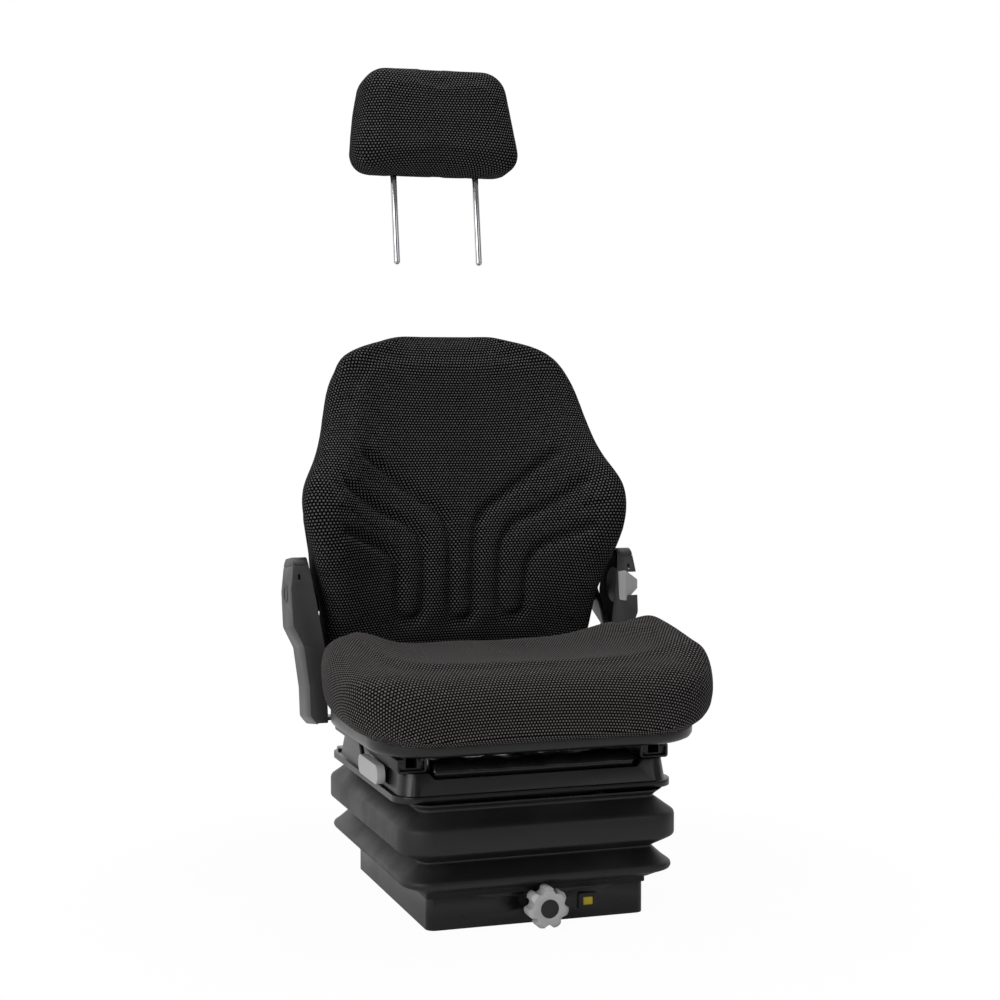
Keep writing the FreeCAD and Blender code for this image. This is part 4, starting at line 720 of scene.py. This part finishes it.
# %% Carve the backrest
places = to_back(points_of(back))
facing = normals_of(back)
front_side = np.clip(-facing[:, 1] * 1.4, 0.0, 1.0)
gap, depth = channel_distance(places[:, [0, 2]], channels)
carve = CHANNEL_DEPTH * np.exp(-(gap / CHANNEL_WIDTH) ** 2) * depth
pillow = PILLOW_RISE * np.exp(-((gap - PILLOW_WIDTH) / PILLOW_WIDTH) ** 2) * depth
wobble = BACK_WOBBLE * soft_noise(points_of(back), BACK_WOBBLE_SCALE, 7.7)
covered = points_of(back) + facing * ((pillow - carve + wobble) * front_side)[:, None]
to_right = np.clip((places[:, 0] / HALF_BACK + 1.0) / 2.0, 0.0, 1.0)
left_shift = np.interp(places[:, 2], SHIFT_AT, SHIFT_LEFT) * (1.0 - to_right)
covered[:, 0] += (left_shift + np.interp(places[:, 2], SHIFT_AT, SHIFT_RIGHT) * to_right) * MM
covered[:, 2] += TOP_RISE * between(places[:, 2], *TOP_BAND)
set_points(back, covered)
paint(back, back_knit)
smooth_shading(back)
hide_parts("backrest_cushion")
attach(back, "backrest")
print("deepest carving in mm:", round(float(carve.max()) / MM, 1))

# %% [markdown]
# The headrest pad is a small soft wedge on two rods, in the same black knit as the backrest. It is made in
# the same way, with smaller faces. The picture shows it drawn out of the backrest, so it stays up there.

# %% Headrest pad
HEAD_FACE, HEAD_PASSES, HEAD_CAP, HEAD_PATTERN = 4 * MM, 6, 3 * MM, 8 * MM

head = copy_of("headrest_pad", "headrest_cover")
even_faces(head, HEAD_FACE, HEAD_PASSES)
inflate(head, HEAD_CAP)
lay_flat(head, (0, 1, 0.15), (1, 0, 0), (0, 0.15, 1), HEAD_PATTERN)
one_subdivision(head)
paint(head, back_knit)
smooth_shading(head)
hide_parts("headrest_pad")
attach(head, "headrest")
print("headrest cover points:", len(head.data.vertices))

# %% [markdown]
# The bellows is a moulded skirt with a low fold and a tall band, and it keeps dirt out of the scissor. A
# sweep would pinch at the corners, so it is built as rings round the base, one ring for each point of its
# profile, with soft corners.

# %% Bellows
BASE_HALF_X, BASE_HALF_Y = 0.154, 0.182
CORNER_STEPS, SIDE_STEPS = 7, 10
CORNER_AT_BASE, SHARPEST_CORNER = 5, 3
# distance out from the base, and height, of the outer skin in mm
SKIN = [(0.5, 43), (0.5, 49.5), (9, 52.9), (22, 58.6), (31.5, 62.2), (34.6, 63.9), (36, 66.4),
        (36, 69.4), (35.2, 71.4), (33, 73.3), (26, 78.3), (17, 86), (11.6, 91), (10.2, 92.5),
        (9.6, 93.2), (10.2, 93.9), (12.4, 95.2), (21, 99.6), (32, 105.2), (37.6, 108.2),
        (39.8, 110.2), (40.4, 113), (40.4, 125), (40.4, 137), (39.6, 140.2), (37.2, 142.8),
        (31, 147), (21, 154.4), (13, 159.9), (11.4, 161.1), (11, 161.8), (11.8, 162.6), (16, 166.4),
        (23, 171.5)]
SKIN_THICK = 2.4
# heights of the fold bottoms, and the band round each, in mm, that gets the painted highlight
FOLD_HEIGHTS, FOLD_HIGHLIGHT_BAND = (93.2, 161.8), 0.8


def ring_points(out, height, corner):
    """Points round a rounded rectangle that stands out from the base."""
    half_x, half_y = BASE_HALF_X + out, BASE_HALF_Y + out
    ring = []
    for quarter in range(4):
        sign_x = (1, -1, -1, 1)[quarter]
        sign_y = (1, 1, -1, -1)[quarter]
        cx, cy = sign_x * (half_x - corner), sign_y * (half_y - corner)
        for step in range(CORNER_STEPS + 1):
            angle = math.pi / 2 * (quarter + step / CORNER_STEPS)
            ring.append((cx + corner * math.cos(angle), cy + corner * math.sin(angle), height))
        ax, ay, _ = ring[-1]
        next_x = (-1, -1, 1, 1)[quarter]
        next_y = (1, -1, -1, 1)[quarter]
        bx = next_x * (half_x - corner) if quarter in (0, 2) else next_x * half_x
        by = next_y * half_y if quarter in (0, 2) else next_y * (half_y - corner)
        for step in range(1, SIDE_STEPS):
            share = step / SIDE_STEPS
            ring.append((ax + (bx - ax) * share, ay + (by - ay) * share, height))
    return ring


def mesh_piece(name, vertices, faces):
    """A new object from points and faces."""
    mesh = bpy.data.meshes.new(name)
    mesh.from_pydata(vertices, [], faces)
    piece = bpy.data.objects.new(name, mesh)
    bpy.context.scene.collection.objects.link(piece)
    return piece


def skirt_mesh(name, profile, thick):
    """A closed skirt: the outer skin, and an inner skin a little inside it."""
    inner = [(out - thick, height) for out, height in reversed(profile)]
    vertices, faces = [], []
    rings = []
    for out, height in profile + inner:
        corner = max((CORNER_AT_BASE + out) * MM, SHARPEST_CORNER * MM)
        rings.append(ring_points(out * MM, height * MM, corner))
    count = len(rings[0])
    for ring in rings:
        vertices += ring
    for i in range(len(rings)):
        here, after = i * count, ((i + 1) % len(rings)) * count
        for j in range(count):
            k = (j + 1) % count
            faces.append((here + j, here + k, after + k, after + j))
    return mesh_piece(name, vertices, faces)


bellows = skirt_mesh("bellows_skin", SKIN, SKIN_THICK)
ring_size = len(bellows.data.vertices) // (2 * len(SKIN))
# the rings at the fold bottoms are marked for the painted highlight
fold_highlight_share = np.zeros(len(bellows.data.vertices), np.float32)
for i, (out, height) in enumerate(SKIN):
    if min(abs(height - fold) for fold in FOLD_HEIGHTS) < FOLD_HIGHLIGHT_BAND:
        fold_highlight_share[i * ring_size:(i + 1) * ring_size] = 1.0
bellows.data.attributes.new("fold_highlight", "FLOAT", "POINT").data.foreach_set("value", fold_highlight_share)
smooth_shading(bellows)
paint(bellows, FINISHES["bellows_rubber"])
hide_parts("bellows")
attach(bellows, "base")
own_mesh(bellows)
print("bellows rings:", 2 * len(SKIN), "points in each:", ring_size)

# %% [markdown]
# Between the rails a soft vinyl gaiter keeps dirt out of the slide. It is a low puffed roll with a few
# creases, so it is made as a grid whose height follows a profile and a little noise.

# %% Slide gaiter
GAITER_HALF, GAITER_FRONT, GAITER_REAR, GAITER_LOW = 0.1405, -0.1735, -0.119, 0.2008
GAITER_RISE, ROUNDNESS = 0.0205, 0.8
SWELL_RISE, SWELL_SCALE, SWELL_MOST = 0.10, 22, 1.06
BUNCHED_RISE, BUNCHED_X, BUNCHED_WIDTH = 0.12, -0.125, 0.022
# creases: height, scale across, scale along the seat, and the part of the noise
CREASES = [(0.0012, 70, 160, 2.0), (0.0040, 34, 45, 5.0)]


def gaiter_mesh():
    """A closed roll across the seat; its underside stays flat."""
    across_steps, round_steps = 90, 22
    vertices, faces = [], []
    for i in range(across_steps + 1):
        x = -GAITER_HALF + 2 * GAITER_HALF * i / across_steps
        bunched = BUNCHED_RISE * math.exp(-((x - BUNCHED_X) / BUNCHED_WIDTH) ** 2)
        swell = 1.0 + SWELL_RISE * noise.noise(Vector((x * SWELL_SCALE, 0.3, 0))) + bunched
        for j in range(round_steps):
            turn = 2 * math.pi * j / round_steps
            depth = (GAITER_REAR - GAITER_FRONT) / 2
            y = (GAITER_FRONT + GAITER_REAR) / 2 - depth * math.cos(turn)
            top = max(0.0, math.sin(turn))
            z = GAITER_LOW + top ** ROUNDNESS * GAITER_RISE * min(swell, SWELL_MOST)
            for height, scale_x, scale_y, part in CREASES:
                z += height * noise.noise(Vector((x * scale_x, y * scale_y, part))) * top
            vertices.append((x, y, z))
    for i in range(across_steps):
        for j in range(round_steps):
            k = (j + 1) % round_steps
            a, b = i * round_steps, (i + 1) * round_steps
            faces.append((a + j, b + j, b + k, a + k))
    faces.append(tuple(range(round_steps)))
    faces.append(tuple(reversed(range(across_steps * round_steps, (across_steps + 1) * round_steps))))
    return mesh_piece("gaiter_roll", vertices, faces)


gaiter = gaiter_mesh()
smooth_shading(gaiter)
paint(gaiter, FINISHES["gaiter_vinyl"])
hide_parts("slide_gaiter")
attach(gaiter, "suspension_top")
print("gaiter points:", len(gaiter.data.vertices))

# %% [markdown]
# The lumbar knob is a square plate with four flat facets that rise to a short ridge, by which it is turned.
# Twelve corners are enough for it: they are set out in the box of the solid, from the cover outwards.

# %% Lumbar knob
PLATE_SHARE, PLATE_FOOT, RIDGE_Y, RIDGE_Z = 0.28, 0.94, 0.10, 0.30
KNOB_BEVEL = 0.8
knob_low, knob_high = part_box("lumbar_knob")
middle = (knob_low + knob_high) / 2
half = (knob_high - knob_low) / 2
plate_x = knob_low.x + 2 * half.x * PLATE_SHARE
corners = []
for x, share_y, share_z in ((knob_low.x, PLATE_FOOT, PLATE_FOOT), (plate_x, 1.0, 1.0),
                            (knob_high.x, RIDGE_Y, RIDGE_Z)):
    for sign_y, sign_z in ((-1, -1), (1, -1), (1, 1), (-1, 1)):
        corners.append((x, middle.y + sign_y * half.y * share_y, middle.z + sign_z * half.z * share_z))
facets = [(3, 2, 1, 0), (8, 9, 10, 11)]
for ring in (0, 4):
    for i in range(4):
        k = (i + 1) % 4
        facets.append((ring + i, ring + k, ring + 4 + k, ring + 4 + i))
lumbar = mesh_piece("lumbar_knob_winged", corners, facets)
paint(lumbar, FINISHES["grey_plastic"])
soften_edges(lumbar, KNOB_BEVEL)
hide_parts("lumbar_knob")
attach(lumbar, "lumbar_knob")
print("lumbar knob half size", half)

# %% [markdown]
# The studio is white. A white room would wash out a black seat, so the world is white to the camera only:
# in reflections it is bright behind the seat and dim in front of it, and as a light it is gentle. The floor
# glows by itself, fully at a distance and almost fully near the seat, so that the shadow stays faint.

# %% World
WORLD_LIGHT, WORLD_SEEN = 0.13, 1.0
GLOSS_FRONT, GLOSS_BACK, GLOSS_TURN = 0.17, 1.05, (-0.3, 0.7)

world = bpy.data.worlds.new("studio")
bpy.context.scene.world = world
world.use_nodes = True
sky = world.node_tree
ground_light = sky.nodes["Background"]
ground_light.inputs["Color"].default_value = (1, 1, 1, 1)
rays = sky.nodes.new("ShaderNodeLightPath")
toward = sky.nodes.new("ShaderNodeSeparateXYZ")
sky.links.new(sky.nodes.new("ShaderNodeTexCoord").outputs["Generated"], toward.inputs[0])
back_wall = ramp(sky, toward.outputs["Y"], *GLOSS_TURN, GLOSS_FRONT, GLOSS_BACK)
seen = calc(sky, "MAXIMUM", rays.outputs["Is Camera Ray"], rays.outputs["Is Transmission Ray"])
in_gloss = calc(sky, "MULTIPLY", rays.outputs["Is Glossy Ray"], back_wall)
unseen = calc(sky, "MAXIMUM", in_gloss, WORLD_LIGHT)
strength = calc(sky, "MAXIMUM", calc(sky, "MULTIPLY", seen, WORLD_SEEN), unseen)
sky.links.new(strength, ground_light.inputs["Strength"])
print("world nodes:", len(sky.nodes))

# %% [markdown]
# The floor is a plain square that reaches far behind the seat. In the picture it is as white as the world,
# and in the seat's gloss it is dark in front and bright behind, as a paper sheet under a lamp would be.

# %% Floor
HALF_FLOOR, FLOOR_DROP = 30.0, -0.0005
FLOOR_NEAR, FLOOR_FAR, FLOOR_SHADE = 0.40, 0.80, 0.97
FLOOR_GLOSS_FRONT, FLOOR_GLOSS_BACK, FLOOR_GLOSS_REACH = 0.05, 0.55, (-0.6, 0.6)

floor_corners = [(x * HALF_FLOOR, y * HALF_FLOOR, 0) for x, y in ((-1, -1), (1, -1), (1, 1), (-1, 1))]
floor = mesh_piece("floor", floor_corners, [(0, 1, 2, 3)])
floor.location.z = FLOOR_DROP
floor_white = {"Base Color": (0.9, 0.9, 0.9, 1), "Roughness": 0.9}
floor_material, tree, shader = new_material("floor_white", floor_white)
glow = tree.nodes.new("ShaderNodeEmission")
blend_node = tree.nodes.new("ShaderNodeMixShader")
floor_rays = tree.nodes.new("ShaderNodeLightPath")
spot = tree.nodes.new("ShaderNodeNewGeometry").outputs["Position"]
reach = tree.nodes.new("ShaderNodeVectorMath")
reach.operation = "LENGTH"
tree.links.new(spot, reach.inputs[0])
spot_axes = tree.nodes.new("ShaderNodeSeparateXYZ")
tree.links.new(spot, spot_axes.inputs[0])
seen_share = ramp(tree, reach.outputs["Value"], FLOOR_NEAR, FLOOR_FAR, FLOOR_SHADE, 1.0)
gloss_share = ramp(tree, spot_axes.outputs["Y"], *FLOOR_GLOSS_REACH, FLOOR_GLOSS_FRONT, FLOOR_GLOSS_BACK)
glow_share = calc(tree, "MAXIMUM", calc(tree, "MULTIPLY", floor_rays.outputs["Is Camera Ray"], seen_share),
                  calc(tree, "MULTIPLY", floor_rays.outputs["Is Glossy Ray"], gloss_share))
tree.links.new(glow_share, blend_node.inputs[0])
tree.links.new(shader.outputs[0], blend_node.inputs[1])
tree.links.new(glow.outputs[0], blend_node.inputs[2])
tree.links.new(blend_node.outputs[0], tree.nodes["Material Output"].inputs["Surface"])
floor.data.materials.append(floor_material)
print("floor nodes:", len(tree.nodes))

# %% [markdown]
# Three soft lamps do the rest. The left one draws the edges of the covers and the base, the top one lights
# the seat's upper side, and the weak one at the front right keeps the dark side readable.

# %% Lamps
# place, aim, size and power
LAMPS = {"left": ((-2.4, -1.5, 1.5), (0, 0, 0.4), 1.8, 37),
         "front_right": ((1.7, -2.6, 1.7), (0, 0, 0.4), 1.6, 8),
         "top": ((0.1, 0.1, 2.9), (0, 0, 0.3), 1.4, 34)}


def soft_lamp(name, place, target, size, power):
    """A square soft lamp that points at a place."""
    light = bpy.data.lights.new(name, "AREA")
    light.size = size
    light.energy = power
    lamp = bpy.data.objects.new(name, light)
    lamp.location = place
    aim = Vector(target) - Vector(place)
    lamp.rotation_euler = aim.to_track_quat("-Z", "Y").to_euler()
    bpy.context.scene.collection.objects.link(lamp)


for name, (place, aim_at, size, power) in LAMPS.items():
    soft_lamp(name, place, aim_at, size, power)
bpy.context.scene.view_settings.view_transform = "Standard"
print("lamps:", len(LAMPS))
